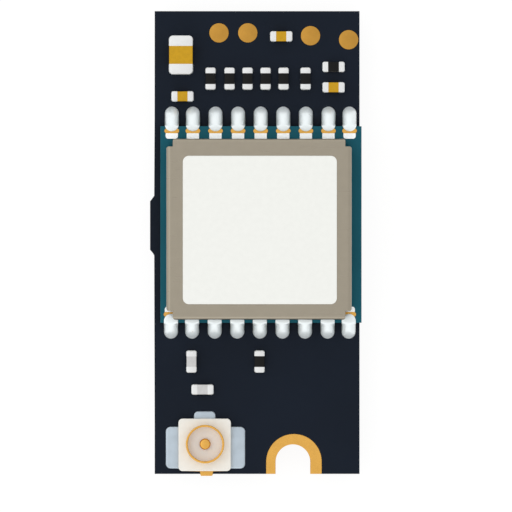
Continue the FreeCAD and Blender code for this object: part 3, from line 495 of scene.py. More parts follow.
def inset_outline(left, right, lower, upper, corner, steps):
    """A function that gives this rounded rectangle's outline at an inset."""

    def ring_at(inset):
        ends = left + inset, right - inset, lower + inset, upper - inset
        return rounded_rectangle(*ends, max(corner - inset, SMALLEST_CORNER), steps)

    return ring_at


def loft(rings, closed=True, capped=True):
    """A skin over rings of points: each closed or not, the row of them capped or closed itself."""
    shape = bmesh.new()
    grid = [[shape.verts.new(point) for point in ring] for ring in rings]
    count = len(rings[0])
    pairs = list(zip(grid, grid[1:]))
    if not capped:
        pairs.append((grid[-1], grid[0]))
    for lower, upper in pairs:
        for i in range(count if closed else count - 1):
            after = (i + 1) % count
            shape.faces.new((lower[i], lower[after], upper[after], upper[i]))
    if capped:
        shape.faces.new(grid[0][::-1])
        shape.faces.new(grid[-1])
    return shape


def prism(outline, bottom, top, upper_round=0.0, lower_round=0.0, keep_sharp=None, segments=3):
    """A plate of this outline, its upper and lower edges rounded but for those kept sharp."""
    shape = loft([[(x, y, height) for x, y in outline] for height in (bottom, top)])
    for height, radius in ((top, upper_round), (bottom, lower_round)):
        if not radius:
            continue
        edges = [
            edge
            for edge in shape.edges
            if all(abs(vert.co.z - height) < LEVEL for vert in edge.verts)
            and not (keep_sharp and keep_sharp((edge.verts[0].co + edge.verts[1].co) / 2))
        ]
        bmesh.ops.bevel(
            shape,
            geom=edges,
            offset=radius,
            segments=segments,
            profile=0.5,
            affect="EDGES",
            clamp_overlap=True,
        )
    return shape


def brick(left, right, lower, upper, bottom, top):
    return prism(rectangle(left, right, lower, upper), bottom, top)


def lathe(profile, x, y, steps, hollow=False):
    """Turns a profile of (radius, height) about an upright axis; a hollow one is a closed loop."""
    rings = []
    for i in range(steps):
        angle = math.tau * i / steps
        rings.append([(x + r * math.cos(angle), y + r * math.sin(angle), z) for r, z in profile])
    shape = loft(rings, closed=hollow, capped=False)
    if not hollow:
        bmesh.ops.remove_doubles(shape, verts=shape.verts, dist=WELD)
    return shape


def turned_button(radius, bottom, top, rounding, steps):
    """Profile of a turned piece with a rounded upper edge, from the axis to the axis."""
    edge = arc(radius - rounding, top - rounding, rounding, 0, 90, steps)
    return [(0, bottom), (radius, bottom), *edge, (0, top)]


def softened(ring_at, bottom, top, upper_round, lower_round):
    """A plate with rounded edges: ring_at gives its outline at an inset."""
    turns = [math.pi / 2 * i / ROUND_STEPS for i in range(ROUND_STEPS + 1)]
    rings = []
    for turn in turns:
        lift = lower_round * (1 - math.cos(turn))
        rings.append((lower_round * (1 - math.sin(turn)), bottom + lift))
    for turn in turns:
        drop = upper_round * (1 - math.sin(turn))
        rings.append((upper_round * (1 - math.cos(turn)), top - drop))
    return loft([[(x, y, height) for x, y in ring_at(inset)] for inset, height in rings])


def pillow(ring_at, bottom, crest, insets):
    """A mound on an outline: it reaches its crest at the last of the insets."""
    rings = [[(x, y, bottom) for x, y in ring_at(0.0)]]
    for inset in insets:
        share = inset / insets[-1]
        rise = LAND_RIM_SHARE + (1 - LAND_RIM_SHARE) * math.sqrt(1 - (1 - share) ** 2)
        rings.append([(x, y, bottom + (crest - bottom) * rise) for x, y in ring_at(inset)])
    return loft(rings)


def merge(shapes):
    """Puts several shapes in one, and uses them up."""
    whole = bmesh.new()
    for shape in shapes:
        mesh = bpy.data.meshes.new("part")
        shape.to_mesh(mesh)
        shape.free()
        whole.from_mesh(mesh)
        bpy.data.meshes.remove(mesh)
    return whole


def carve(shape, tool, operation="DIFFERENCE"):
    """Cuts one closed shape with another, or intersects them, and uses both up."""
    made = []
    for name, content in (("carved", shape), ("tool", tool)):
        bmesh.ops.recalc_face_normals(content, faces=content.faces)
        mesh = bpy.data.meshes.new(name)
        content.to_mesh(mesh)
        content.free()
        made.append(bpy.data.objects.new(name, mesh))
        bpy.context.collection.objects.link(made[-1])
    cutter = made[0].modifiers.new("cut", "BOOLEAN")
    cutter.object = made[1]
    cutter.operation = operation
    cutter.solver = "EXACT"
    bpy.context.view_layer.update()
    evaluated = made[0].evaluated_get(bpy.context.evaluated_depsgraph_get())
    result = bmesh.new()
    result.from_mesh(evaluated.to_mesh())
    evaluated.to_mesh_clear()
    for item in made:
        mesh = item.data
        bpy.data.objects.remove(item)
        bpy.data.meshes.remove(mesh)
    bmesh.ops.remove_doubles(result, verts=result.verts, dist=WELD)
    return result


def add_piece(name, shape, finishes, replaced, sharp=CREASE):
    """Shows a shape in place of the nodes it stands for."""
    bmesh.ops.recalc_face_normals(shape, faces=shape.faces)
    for face in shape.faces:
        face.smooth = True
    for edge in shape.edges:
        edge.smooth = edge.calc_face_angle(0.0) < math.radians(sharp)
    bmesh.ops.scale(shape, vec=(MM, MM, MM), verts=shape.verts)
    mesh = bpy.data.meshes.new(name)
    shape.to_mesh(mesh)
    shape.free()
    piece = bpy.data.objects.new(name, mesh)
    bpy.context.collection.objects.link(piece)
    for finish in finishes:
        mesh.materials.append(FINISHES[finish])
    weighted = piece.modifiers.new("weighted_normals", "WEIGHTED_NORMAL")
    weighted.keep_sharp = True
    weighted.weight = 100
    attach(piece, "root")
    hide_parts(*replaced)


# Carrier board


def notch_mouth(radius):
    """The notch from its left foot over its arch to its right foot."""
    points = [(NOTCH_X - radius, BOARD_LOW.y)]
    points += arc(NOTCH_X, NOTCH_Y, radius, 180, 0, steps=32)
    points.append((NOTCH_X + radius, BOARD_LOW.y))
    return points


def make_board():
    """The node's box takes in the tab, so the left edge is the right one's mirror image."""
    right, upper, lower = BOARD_HIGH.x, BOARD_HIGH.y, BOARD_LOW.y
    left = -right
    tab_left = left - TAB_REACH
    tab_middle = (MODULE_LOW.y + MODULE_HIGH.y) / 2 - TAB_DROP
    tab_upper = tab_middle + TAB_LENGTH / 2
    tab_lower = tab_middle - TAB_LENGTH / 2
    bored = NOTCH_RADIUS + PLATING
    outline = [
        (left, lower),
        *notch_mouth(bored),
        (right, lower),
        (right, upper),
        (left, upper),
        (left, tab_upper),
        (tab_left, tab_upper - TAB_CHAMFER),
        (tab_left, tab_lower + TAB_CHAMFER),
        (left, tab_lower),
    ]

    def is_notch(point):
        return abs(point.x - NOTCH_X) < bored + NEAR and point.y < NOTCH_Y + bored + NEAR

    edges = (BOARD_ROUND, BOARD_ROUND, is_notch)
    board = prism(outline, BOARD_LOW.z, BOARD_HIGH.z, *edges, segments=2)
    add_piece("carrier_board_dressed", board, ["dark_board"], ["carrier_board"])


def make_notch_plating():
    """Land above, barrel and land below in one skin, swept round the notch."""
    top = BOARD_HIGH.z + PLATING
    bottom = BOARD_LOW.z - PLATING
    land_x = NOTCH_X + NOTCH_LAND_SHIFT
    soft = NOTCH_LAND_ROUND
    # Axis, radius and height of each point of the section
    section = (
        (NOTCH_X, NOTCH_RADIUS, bottom + soft),
        (NOTCH_X, NOTCH_RADIUS, top - soft),
        (NOTCH_X, NOTCH_RADIUS + soft, top),
        (land_x, NOTCH_LAND_RADIUS - soft, top),
        (land_x, NOTCH_LAND_RADIUS, top - soft),
        (land_x, NOTCH_LAND_RADIUS, BOARD_HIGH.z),
        (NOTCH_X, NOTCH_RADIUS + PLATING, BOARD_HIGH.z),
        (NOTCH_X, NOTCH_RADIUS + PLATING, BOARD_LOW.z),
        (land_x, NOTCH_LAND_RADIUS, BOARD_LOW.z),
        (land_x, NOTCH_LAND_RADIUS, bottom + soft),
        (land_x, NOTCH_LAND_RADIUS - soft, bottom),
        (NOTCH_X, NOTCH_RADIUS + soft, bottom),
    )
    stations = [(-1.0, 0.0, BOARD_LOW.y)]
    stations += [(dx, dy, NOTCH_Y) for dx, dy in arc(0, 0, 1, 180, 0, steps=40)]
    stations.append((1.0, 0.0, BOARD_LOW.y))
    plating = loft([[(x + dx * r, y + dy * r, z) for x, r, z in section] for dx, dy, y in stations])
    add_piece("notch_plating_dressed", plating, ["gold"], ["notch_plating"])


def make_test_pads():
    for number in range(1, TEST_PADS + 1):
        low, high = node_box(f"test_pad_{number}")
        middle = (low + high) / 2
        profile = turned_button((high.x - low.x) / 2, low.z, high.z, TEST_PAD_ROUND, steps=4)
        pad = lathe(profile, middle.x, middle.y, steps=64)
        add_piece(f"test_pad_{number}_dressed", pad, ["test_gold"], [f"test_pad_{number}"])


# Receiver module


class Row:
    """One row of castellations: its edge, outward direction and how far its solder reaches in."""

    def __init__(self, edge, outward, shift, reach, first_number):
        self.edge = edge
        self.outward = outward
        self.first_number = first_number
        self.toe = SOLDER_LENGTH - reach
        self.inner_centre = SOLDER_HALF_WIDTH - reach
        self.outer_centre = self.toe - SOLDER_HALF_WIDTH
        start = MODULE_LOW.x + END_MARGIN - shift
        self.columns = [start]
        for column in range(1, COLUMNS - 1):
            self.columns.append(start + END_PITCH + (column - 1) * COLUMN_PITCH)
        self.columns.append(start + (COLUMNS - 3) * COLUMN_PITCH + 2 * END_PITCH)

    def point(self, column, across, outside):
        """A point so far to the right of a column and so far outside the module's edge."""
        return self.columns[column] + across, self.edge + self.outward * outside


UPPER_ROW = Row(MODULE_HIGH.y, outward=1, shift=0.0, reach=UPPER_SOLDER_REACH, first_number=1)
LOWER_ROW = Row(
    MODULE_LOW.y,
    outward=-1,
    shift=LOWER_ROW_SHIFT,
    reach=LOWER_SOLDER_REACH,
    first_number=1 + COLUMNS,
)


def slot_points(row, column, radius):
    """A castellation slot, from its right mouth round its inner end to its left mouth."""
    centre = min(row.inner_centre, 0.0)
    tilt = 0.0
    if row.inner_centre > 0:
        tilt = math.degrees(math.asin(row.inner_centre / radius))
        centre = row.inner_centre
    points = [] if tilt else [row.point(column, radius, 0.0)]
    for x, y in arc(0, 0, radius, -tilt, tilt - 180, steps=14):
        points.append(row.point(column, x, centre + y))
    if not tilt:
        points.append(row.point(column, -radius, 0.0))
    return points


def make_module_board():
    bored = SLOT_RADIUS + PLATING
    outline = [(MODULE_LOW.x, MODULE_LOW.y)]
    for column in range(COLUMNS):
        outline += slot_points(LOWER_ROW, column, bored)[::-1]
    outline += [(MODULE_HIGH.x, MODULE_LOW.y), (MODULE_HIGH.x, MODULE_HIGH.y)]
    for column in reversed(range(COLUMNS)):
        outline += slot_points(UPPER_ROW, column, bored)
    outline.append((MODULE_LOW.x, MODULE_HIGH.y))

    def is_slot(point):
        inside_x = MODULE_LOW.x + NEAR < point.x < MODULE_HIGH.x - NEAR
        return inside_x and MODULE_LOW.y + NEAR < point.y < MODULE_HIGH.y - NEAR

    edges = (MODULE_ROUND, MODULE_ROUND, is_slot)
    board = prism(outline, MODULE_LOW.z, MODULE_HIGH.z, *edges, segments=2)
    add_piece("module_board_dressed", board, ["teal_board"], ["module_board"])


# Solder joints. A joint's own coordinates are x, across it, and v, outward from the module's edge.


def solder_ring(row, half_width):
    """A joint's outline at a smaller width, from its toe round by the right."""
    steps = SOLDER_ARC_STEPS
    outer, inner = row.outer_centre, row.inner_centre
    along = [(outer - inner) * i / SOLDER_SIDE_STEPS for i in range(SOLDER_SIDE_STEPS + 1)]
    points = [(x, outer + y) for x, y in arc(0, 0, half_width, 90, 0, steps)[:-1]]
    points += [(half_width, outer - way) for way in along]
    points += [(x, inner + y) for x, y in arc(0, 0, half_width, 0, -180, 2 * steps)[1:-1]]
    points += [(-half_width, inner + way) for way in along]
    points += [(x, outer + y) for x, y in arc(0, 0, half_width, 180, 90, steps)[1:-1]]
    return points


def bulge_centre(row, top):
    """Where the arc that a row's joints fall along has its centre, as v and height."""
    rise = top - BOARD_HIGH.z - SOLDER_FOOT
    depth = math.sqrt(SOLDER_BULGE**2 / (row.toe**2 + rise**2) - 0.5**2)
    height = BOARD_HIGH.z + SOLDER_FOOT + rise / 2 - row.toe * depth
    return row.toe / 2 - rise * depth, height


def solder_blob(row, column, top, bulge, fullness, lean):
    """A joint that falls from the module's edge in a full curve and rounds off at its sides."""
    bulge_v, bulge_z = bulge
    board_top = BOARD_HIGH.z
    rim_top = MODULE_HIGH.z + PLATING

    def height_at(x, v, share):
        climb = min(max(1 - v / row.toe, 0.0), 1.0)
        crest = bulge_z + math.sqrt(SOLDER_BULGE**2 - (max(v, 0.0) - bulge_v) ** 2)
        crest = min(crest + (fullness + lean * x) * math.sin(math.pi * climb), top)
        near_edge = min(max(1 - v / SOLDER_CLIMB_ZONE, 0.0), 1.0)
        shoulder = (crest - board_top - SOLDER_SHOULDER) * near_edge**2 * (3 - 2 * near_edge)
        foot = board_top + SOLDER_RIM + shoulder
        foot = max(foot, rim_top) if v <= 0 else foot
        dome = (1 - (1 - share) ** SOLDER_DOME_POWER) ** (1 / SOLDER_DOME_POWER)
        return foot + (crest - foot) * dome

    ring = solder_ring(row, SOLDER_HALF_WIDTH)
    rings = [[(*row.point(column, x, v), board_top) for x, v in ring]]
    for share in SOLDER_RING_SHARES:
        ring = solder_ring(row, SOLDER_HALF_WIDTH * (1 - share))
        rings.append([(*row.point(column, x, v), height_at(x, v, share)) for x, v in ring])
    blob = loft(rings)
    bmesh.ops.remove_doubles(blob, verts=blob.verts, dist=SOLDER_WELD)
    return blob


def solder_cutter(row, column):
    """The module round one slot, which its joint leaves free."""
    half, depth = SOLDER_CUTTER_HALF_WIDTH, SOLDER_CUTTER_DEPTH
    inside = slot_points(row, column, SLOT_RADIUS)
    left, right = row.point(column, -half, 0.0), row.point(column, half, 0.0)
    far_left, far_right = row.point(column, -half, -depth), row.point(column, half, -depth)
    outline = [right, *inside, left, far_left, far_right]
    return prism(outline, MODULE_LOW.z - SOLDER_GAP, MODULE_HIGH.z + PLATING)


def make_solder_joints():
    """Joints that differ a little, at random, in how full they are and which way they lean."""
    chance = random.Random(SOLDER_SEED)
    for row in (UPPER_ROW, LOWER_ROW):
        nodes = [f"solder_joint_{row.first_number + column:02d}" for column in range(COLUMNS)]
        bulge = bulge_centre(row, node_box(nodes[0])[1].z)
        for column, node in enumerate(nodes):
            top = node_box(node)[1].z
            fullness = chance.uniform(-SOLDER_FULLNESS, SOLDER_FULLNESS)
            lean = chance.uniform(-SOLDER_LEAN, SOLDER_LEAN)
            blob = solder_blob(row, column, top, bulge, fullness, lean)
            joint = carve(blob, solder_cutter(row, column))
            add_piece(f"{node}_dressed", joint, ["solder"], [node], sharp=SOLDER_CREASE)


# Shield can and label


def can_outline():
    """The can seen from above, with a notch at each corner."""
    left, right, lower, upper = CAN_LOW.x, CAN_HIGH.x, CAN_LOW.y, CAN_HIGH.y
    inner_left, inner_right = left + CAN_NOTCH_WIDTH, right - CAN_NOTCH_WIDTH
    inner_lower, inner_upper = lower + CAN_NOTCH_LOWER, upper - CAN_NOTCH_UPPER
    r = CAN_CORNER
    return [
        *arc(inner_right - r, lower + r, r, 270, 360, CORNER_STEPS),
        (inner_right, inner_lower),
        *arc(right - r, inner_lower + r, r, 270, 360, CORNER_STEPS),
        *arc(right - r, inner_upper - r, r, 0, 90, CORNER_STEPS),
        (inner_right, inner_upper),
        *arc(inner_right - r, upper - r, r, 0, 90, CORNER_STEPS),
        *arc(inner_left + r, upper - r, r, 90, 180, CORNER_STEPS),
        (inner_left, inner_upper),
        *arc(left + r, inner_upper - r, r, 90, 180, CORNER_STEPS),
        *arc(left + r, inner_lower + r, r, 180, 270, CORNER_STEPS),
        (inner_left, inner_lower),
        *arc(inner_left + r, lower + r, r, 180, 270, CORNER_STEPS),
    ]


def make_can():
    """A folded can: bent edges, open corners, and reliefs in its walls where pads pass under."""
    low, high, t = CAN_LOW, CAN_HIGH, CAN_SHEET
    below = low.z - OVERSHOOT
    outside = rectangle(low.x, high.x, low.y, high.y)
    folded = prism(outside, low.z, high.z, CAN_BEND, segments=8)
    folded = carve(folded, prism(can_outline(), below, high.z + OVERSHOOT), "INTERSECT")
    cavity = rectangle(low.x + t, high.x - t, low.y + t, high.y - t)
    folded = carve(folded, prism(cavity, below, high.z - t, CAN_BEND - t))
    half = RIM_WIDTH / 2 + RELIEF_CLEARANCE
    top = low.z + RELIEF_HEIGHT
    openings = []
    # The upper row's end pads lie beside the can
    covered = ((UPPER_ROW, high.y, range(1, COLUMNS - 1)), (LOWER_ROW, low.y, range(COLUMNS)))
    for row, edge, columns in covered:
        ends = sorted((edge + row.outward * t, edge - row.outward * 2 * t))
        for column in columns:
            x = row.columns[column]
            openings.append(brick(x - half, x + half, *ends, below, top))
    folded = carve(folded, merge(openings))
    pad_end = MODULE_LOW.y + LOWER_PAD_REACH + RELIEF_CLEARANCE
    sides = [
        brick(low.x - t, low.x + 2 * t, low.y - t, pad_end, below, top),
        brick(high.x - 2 * t, high.x + t, low.y - t, pad_end, below, top),
    ]
    folded = carve(folded, merge(sides))
    bmesh.ops.dissolve_limit(
        folded,
        angle_limit=math.radians(FLAT_ANGLE),
        verts=folded.verts,
        edges=folded.edges,
        delimit={"NORMAL"},
    )
    add_piece("shield_can_dressed", folded, ["can_sheet"], ["shield_can"])


def make_label():
    low, high = node_box("module_label")
    ring_at = inset_outline(low.x, high.x, low.y, high.y, LABEL_CORNER, steps=12)
    label = softened(ring_at, low.z, high.z, LABEL_ROUND, LABEL_FOOT_ROUND)
    add_piece("module_label_dressed", label, ["label"], ["module_label"])


# Small chips and their solder. A chip is made about its own middle, long along X.

# Places of a chip's materials in its list
CAP, BODY, CERAMIC = range(3)


def chip_block(length, width, bottom, top, corner, edge):
    """A chip's whole form."""
    sides = -length / 2, length / 2, -width / 2, width / 2
    ring_at = inset_outline(*sides, corner, CORNER_STEPS)
    return softened(ring_at, bottom, top, edge, edge * CHIP_FOOT_SHARE)


def resistor_slab(half_length, half_width, bottom, top, rounding=0.0):
    """A resistor's ceramic body, or the glass on it."""
    sides = -half_length, half_length, -half_width, half_width
    return prism(rounded_rectangle(*sides, CERAMIC_CORNER, steps=2), bottom, top, rounding)


def kept_slice(shape, start, stop):
    """What lies between two planes across X, closed again."""
    for at, normal in ((start, (-1, 0, 0)), (stop, (1, 0, 0))):
        cut = bmesh.ops.bisect_plane(
            shape,
            geom=[*shape.verts, *shape.edges, *shape.faces],
            dist=LEVEL,
            plane_co=(at, 0, 0),
            plane_no=normal,
            clear_outer=True,
        )
        rim = [item for item in cut["geom_cut"] if isinstance(item, bmesh.types.BMEdge)]
        if rim:
            bmesh.ops.contextual_create(shape, geom=rim)
    return shape


def set_material(shape, index):
    for face in shape.faces:
        face.material_index = index
    return shape


def chip_skirt(length, width, corner, band, end, climb):
    """Solder that rises from the board round one end cap."""
    start, stop = band / 2 + SKIRT_GAP, length / 2
    rings = []
    for reach, share in SKIRT_RINGS:
        height = BOARD_HIGH.z + share * climb
        half = width / 2 + reach
        near = [(start, half), (start, -half)]
        far = arc(stop - corner, corner - width / 2, corner + reach, 270, 360, CORNER_STEPS)
        far += arc(stop - corner, width / 2 - corner, corner + reach, 0, 90, CORNER_STEPS)
        rings.append([(end * x, y, height) for x, y in near + far])
    return loft(rings)


def make_chip(node, body_finish):
    """A chip with its end caps. Returns the solder round them, for the node that holds it all."""
    low, high = node_box(node)
    middle = (low + high) / 2
    across, along = high.x - low.x, high.y - low.y
    length, width = max(across, along), min(across, along)
    bulk = length > BULK_LENGTH
    corner, edge = (BULK_CORNER, BULK_EDGE) if bulk else (CHIP_CORNER, CHIP_EDGE)
    band = length * BAND_SHARE
    bottom, top = low.z, high.z
    inner_bottom = bottom + CHIP_INSET
    if body_finish == "black_glass":
        band += GLASS_LAP
        half_width = width / 2 - CHIP_INSET
        glass_bottom = top - GLASS - CHIP_INSET
        glass_top = top - CHIP_INSET * GLASS_DIP_SHARE
        ceramic = resistor_slab(length * CERAMIC_SHARE, half_width, inner_bottom, glass_bottom)
        glass = resistor_slab(band / 2, half_width, glass_bottom, glass_top, GLASS_ROUND)
        parts = [set_material(ceramic, CERAMIC), set_material(glass, BODY)]
    else:
        inner_length, inner_width = length - 2 * CHIP_INSET, width - 2 * CHIP_INSET
        sizes = inner_length, inner_width, inner_bottom, top - CHIP_INSET
        body = chip_block(*sizes, corner, edge * BAND_EDGE_SHARE)
        body = kept_slice(body, -band / 2 - BAND_LAP, band / 2 + BAND_LAP)
        parts = [set_material(body, BODY)]
    for start, stop in ((band / 2, length), (-length, -band / 2)):
        cap = kept_slice(chip_block(length, width, bottom, top, corner, edge), start, stop)
        parts.append(set_material(cap, CAP))
    chip = merge(parts)
    climb = SKIRT_CLIMB_SHARE * (top - bottom)
    skirts = merge([chip_skirt(length, width, corner, band, end, climb) for end in (1, -1)])
    for shape in (chip, skirts):
        if along > across:
            for vert in shape.verts:
                vert.co.x, vert.co.y = -vert.co.y, vert.co.x
        bmesh.ops.translate(shape, vec=(middle.x, middle.y, 0), verts=shape.verts)
    finishes = ["chip_ends", body_finish, "white_ceramic"]
    add_piece(f"{node}_dressed", chip, finishes, [node])
    return skirts


def make_chips():
    skirts = []
    for node, slot in SLOT_OF.items():
        if node.startswith(("resistor_", "capacitor_", "bulk_", "inductor_")):
            skirts.append(make_chip(node, slot))
    solder = merge(skirts)
    add_piece("chip_solder_dressed", solder, ["solder"], ["chip_solder"], sharp=SOLDER_CREASE)


# Antenna socket


def make_insulator():
    low, high = INSULATOR_LOW, INSULATOR_HIGH
    ring_at = inset_outline(low.x, high.x, low.y, high.y, SOCKET_CORNER, steps=10)
    plate = softened(ring_at, low.z, high.z, INSULATOR_ROUND, INSULATOR_FOOT_ROUND)
    add_piece("antenna_insulator_dressed", plate, ["ivory_plastic"], ["antenna_insulator"])


def socket_ring(bottom, top):
    """The turned ring with the groove that a plug snaps in."""
    outer, inner = RING_RADIUS, RING_RADIUS - RING_WALL
    middle = (bottom + top) / 2
    shallow, near = GROOVE_DEPTH * GROOVE_CURVE[0], GROOVE_WIDTH * GROOVE_CURVE[1]
    edge_z = top - RING_ROUND
    profile = [
        (inner, bottom),
        (outer, bottom),
        (outer, middle - GROOVE_WIDTH / 2),
        (outer - shallow, middle - near),
        (outer - GROOVE_DEPTH, middle),
        (outer - shallow, middle + near),
        (outer, middle + GROOVE_WIDTH / 2),
        (outer, edge_z),
        *arc(outer - RING_ROUND, edge_z, RING_ROUND, 20, 90, steps=3),
        *arc(inner + RING_ROUND, edge_z, RING_ROUND, 90, 180, steps=3),
    ]
    return lathe(profile, RING_X, RING_Y, steps=96, hollow=True)


def base_outline(tail_end):
    """The outer contact's sheet: the socket's outline, with a tail and a bay for the signal."""
    left, right = SOCKET.x - SOCKET_SIDE, SOCKET.x + SOCKET_SIDE
    lower, upper = SOCKET.y - SOCKET_SIDE, SOCKET.y + SOCKET_SIDE
    bay = RING_RADIUS - 2 * RING_WALL
    tail_left = SOCKET.x + TAIL_SHIFT - TAIL_WIDTH / 2
    tail_right = SOCKET.x + TAIL_SHIFT + TAIL_WIDTH / 2
    c, r = TAIL_CORNER, SOCKET_CORNER
    return [
        *arc(left + r, lower + r, r, 180, 270, CORNER_STEPS),
        (tail_left, lower),
        *arc(tail_left + c, tail_end + c, c, 180, 270, steps=4),
        *arc(tail_right - c, tail_end + c, c, 270, 360, steps=4),
        (tail_right, lower),
        *arc(right - r, lower + r, r, 270, 360, CORNER_STEPS),
        *arc(right - r, upper - r, r, 0, 90, CORNER_STEPS),
        (SOCKET.x + bay, upper),
        (SOCKET.x + bay, SOCKET.y - bay),
        (SOCKET.x - bay, SOCKET.y - bay),
        (SOCKET.x - bay, upper),
        *arc(left + r, upper - r, r, 90, 180, CORNER_STEPS),
    ]


def make_outer_contact():
    """Base sheet with the tail, two legs through the insulator, and the ring on them."""
    low, high = node_box("antenna_outer_contact")
    bottom = INSULATOR_HIGH.z
    sheet_top = low.z + BASE_SHEET
    rounds = (BASE_ROUND, BASE_FOOT_ROUND)
    sheet = prism(base_outline(low.y), low.z, sheet_top, *rounds, segments=2)
    contact = [socket_ring(bottom, high.z), sheet]
    inner, outer = RING_RADIUS - RING_WALL, RING_RADIUS - RING_LEG_INSET
    across = (RING_Y - RING_LEG / 2, RING_Y + RING_LEG / 2)
    for turn in (1, -1):
        ends = sorted((RING_X + turn * inner, RING_X + turn * outer))
        contact.append(brick(*ends, *across, sheet_top, bottom))
    finishes, replaced = ["gold"], ["antenna_outer_contact"]
    add_piece("antenna_outer_contact_dressed", merge(contact), finishes, replaced)


def make_centre_contact():
    """Signal strip on the board, square stem through the insulator, and the pin on it."""
    low, high = node_box("antenna_centre_contact")
    bottom = INSULATOR_HIGH.z
    profile = turned_button(PIN_RADIUS, bottom, high.z, PIN_ROUND, steps=6)
    pin = lathe(profile, RING_X, RING_Y, steps=48)
    strip_top = low.z + BASE_SHEET
    half = STRIP_WIDTH / 2
    outline = rectangle(RING_X - half, RING_X + half, low.y, high.y)
    strip = prism(outline, low.z, strip_top, STRIP_ROUND)
    half = STEM_WIDTH / 2
    sides = RING_X - half, RING_X + half, RING_Y - half, RING_Y + half
    contact = merge([pin, strip, brick(*sides, strip_top, bottom)])
    add_piece("antenna_centre_contact_dressed", contact, ["gold"], ["antenna_centre_contact"])


def make_socket_solder():
    """Rounded lands beside the socket, at its signal end and under its tail."""
    low, high = node_box("antenna_solder")
    x, y, side = SOCKET.x, SOCKET.y, SOCKET_SIDE
    half = SIDE_LAND_WIDTH / 2
    side_y = y - SIDE_LAND_DROP
    beside = (side_y - half, side_y + half, SIDE_LAND_CORNER)
    signal = (y + side - SIGNAL_LAND_LAP, y + side + SIGNAL_LAND_REACH, SIGNAL_LAND_CORNER)
    under_tail = (BOARD_LOW.y + TAIL_LAND_MARGIN, y - side + LAND_LAP, TAIL_LAND_CORNER)
    tail_x = x + TAIL_SHIFT
    lands = [
        (x - side - LEFT_LAND_REACH, x - side + LAND_LAP, *beside),
        (x + side - LAND_LAP, x + side + RIGHT_LAND_REACH, *beside),
        (x - SIGNAL_LAND_HALF_WIDTH, x + SIGNAL_LAND_HALF_WIDTH, *signal),
        (tail_x - TAIL_LAND_HALF_WIDTH, tail_x + TAIL_LAND_HALF_WIDTH, *under_tail),
    ]
    mounds = [pillow(inset_outline(*land, steps=8), low.z, high.z, LAND_INSETS) for land in lands]
    finishes, replaced = ["socket_solder"], ["antenna_solder"]
    add_piece("antenna_solder_dressed", merge(mounds), finishes, replaced, sharp=SOLDER_CREASE)


def dress_remaining_nodes():
    """Nodes whose own shape is right only get their finish."""
    for name, node in frame["nodes"].items():
        if node.hide_render:
            continue
        node.data.materials.clear()
        node.data.materials.append(FINISHES[SLOT_OF[name]])


# Studio, in metres and watts

FLOOR_REACH = 8.0
FLOOR_LEVEL = -0.01 * MM
FLOOR_SHADE = (0.9, 0.9, 0.9, 1)
FLOOR_GLOW = 1.06
FLOOR_GLOW_SHARE = 0.85
TENT_STRENGTH = {"To_Min": 0.52, "To_Max": 1.51}
# Name, power, size and place
LIGHTS = (
    ("key", 0.12, 0.30, (-0.15, 0.01, 0.20)),
    ("fill_lower", 0.10, 0.25, (-0.02, -0.22, 0.10)),
    ("fill_upper", 0.05, 0.25, (-0.02, 0.22, 0.10)),
)
CAMERA_DISTANCE = 1.0
CAMERA_CLIP = (0.01, 20)
VIEW_WIDTH = 25.447 * MM
VIEW_X = -0.055 * MM
VIEW_Y = -0.670 * MM


def cleared_tree(owner):
    owner.use_nodes = True
    owner.node_tree.nodes.clear()
    return owner.node_tree


def seen_directly(tree):
    """1 for rays from the camera, from reflections and through glass."""
    path = add_node(tree, "ShaderNodeLightPath")
    total = path.outputs["Is Camera Ray"]
    for name in ("Is Glossy Ray", "Is Transmission Ray"):
        ray = path.outputs[name]
        made = add_node(tree, "ShaderNodeMath", operation="MAXIMUM", _0=total, _1=ray)
        total = made.outputs[0]
    return total


def show_mixed(tree, output, share, first, second):
    """Makes the output go from one shader to another."""
    mix = add_node(tree, "ShaderNodeMixShader", _0=share, _1=first, _2=second)
    add_node(tree, output, Surface=mix.outputs[0])


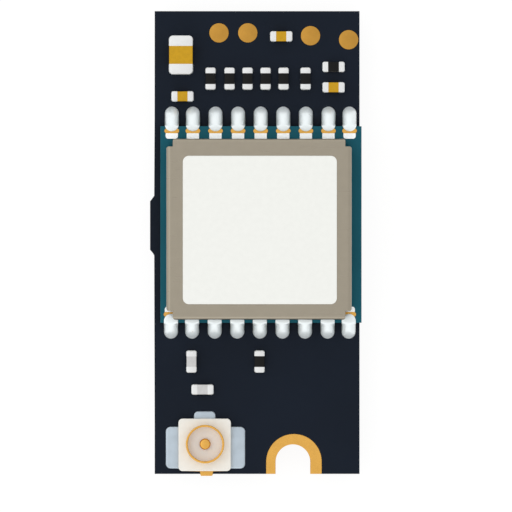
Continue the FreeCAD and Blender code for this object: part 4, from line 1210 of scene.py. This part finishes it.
def make_floor():
    """A pale floor: cameras and reflections see it nearly white, and it keeps the shadow."""
    outline = rectangle(-FLOOR_REACH, FLOOR_REACH, -FLOOR_REACH, FLOOR_REACH)
    corners = [(x, y, FLOOR_LEVEL) for x, y in outline]
    mesh = bpy.data.meshes.new("floor")
    mesh.from_pydata(corners, [], [(0, 1, 2, 3)])
    floor = bpy.data.objects.new("floor", mesh)
    bpy.context.collection.objects.link(floor)
    material = bpy.data.materials.new("floor")
    tree = cleared_tree(material)
    diffuse = add_node(tree, "ShaderNodeBsdfDiffuse", Color=FLOOR_SHADE).outputs[0]
    glow = add_node(tree, "ShaderNodeEmission", Strength=FLOOR_GLOW).outputs[0]
    seen = seen_directly(tree)
    share = add_node(tree, "ShaderNodeMath", operation="MULTIPLY", _0=seen, _1=FLOOR_GLOW_SHARE)
    show_mixed(tree, "ShaderNodeOutputMaterial", share.outputs[0], diffuse, glow)
    mesh.materials.append(material)


def make_world():
    """A white tent that lights the object mostly from above."""
    world = bpy.data.worlds.new("studio")
    bpy.context.scene.world = world
    tree = cleared_tree(world)
    white = add_node(tree, "ShaderNodeBackground", Color=(1, 1, 1, 1)).outputs[0]
    direction = add_node(tree, "ShaderNodeTexCoord").outputs["Generated"]
    upright = add_node(tree, "ShaderNodeSeparateXYZ", _0=direction).outputs["Z"]
    square = add_node(tree, "ShaderNodeMath", operation="POWER", _0=upright, _1=2.0)
    ramp = add_node(tree, "ShaderNodeMapRange", Value=square.outputs["Value"], **TENT_STRENGTH)
    soft = add_node(tree, "ShaderNodeBackground", Strength=ramp.outputs["Result"]).outputs[0]
    show_mixed(tree, "ShaderNodeOutputWorld", seen_directly(tree), soft, white)


def make_lights():
    """A key light from the left, and soft boxes off both ends for the slopes of the solder."""
    for name, energy, size, location in LIGHTS:
        data = bpy.data.lights.new(name, "AREA")
        data.energy = energy
        data.size = size
        light = bpy.data.objects.new(name, data)
        light.location = location
        light.rotation_mode = "QUATERNION"
        light.rotation_quaternion = (-light.location).to_track_quat("-Z", "Y")
        bpy.context.collection.objects.link(light)


def make_camera():
    """Straight down on the board, from far enough that it looks flat, framed as the picture is."""
    data = bpy.data.cameras.new("camera")
    data.lens = data.sensor_width * CAMERA_DISTANCE / VIEW_WIDTH
    data.clip_start, data.clip_end = CAMERA_CLIP
    camera = bpy.data.objects.new("camera", data)
    camera.location = (VIEW_X, VIEW_Y, CAMERA_DISTANCE + BOARD_HIGH.z * MM)
    bpy.context.collection.objects.link(camera)
    bpy.context.scene.camera = camera


make_board()
make_notch_plating()
make_test_pads()
make_module_board()
make_solder_joints()
make_can()
make_label()
make_chips()
make_insulator()
make_outer_contact()
make_centre_contact()
make_socket_solder()
dress_remaining_nodes()
make_floor()
make_world()
make_lights()
make_camera()
bpy.context.scene.view_settings.view_transform = "Standard"
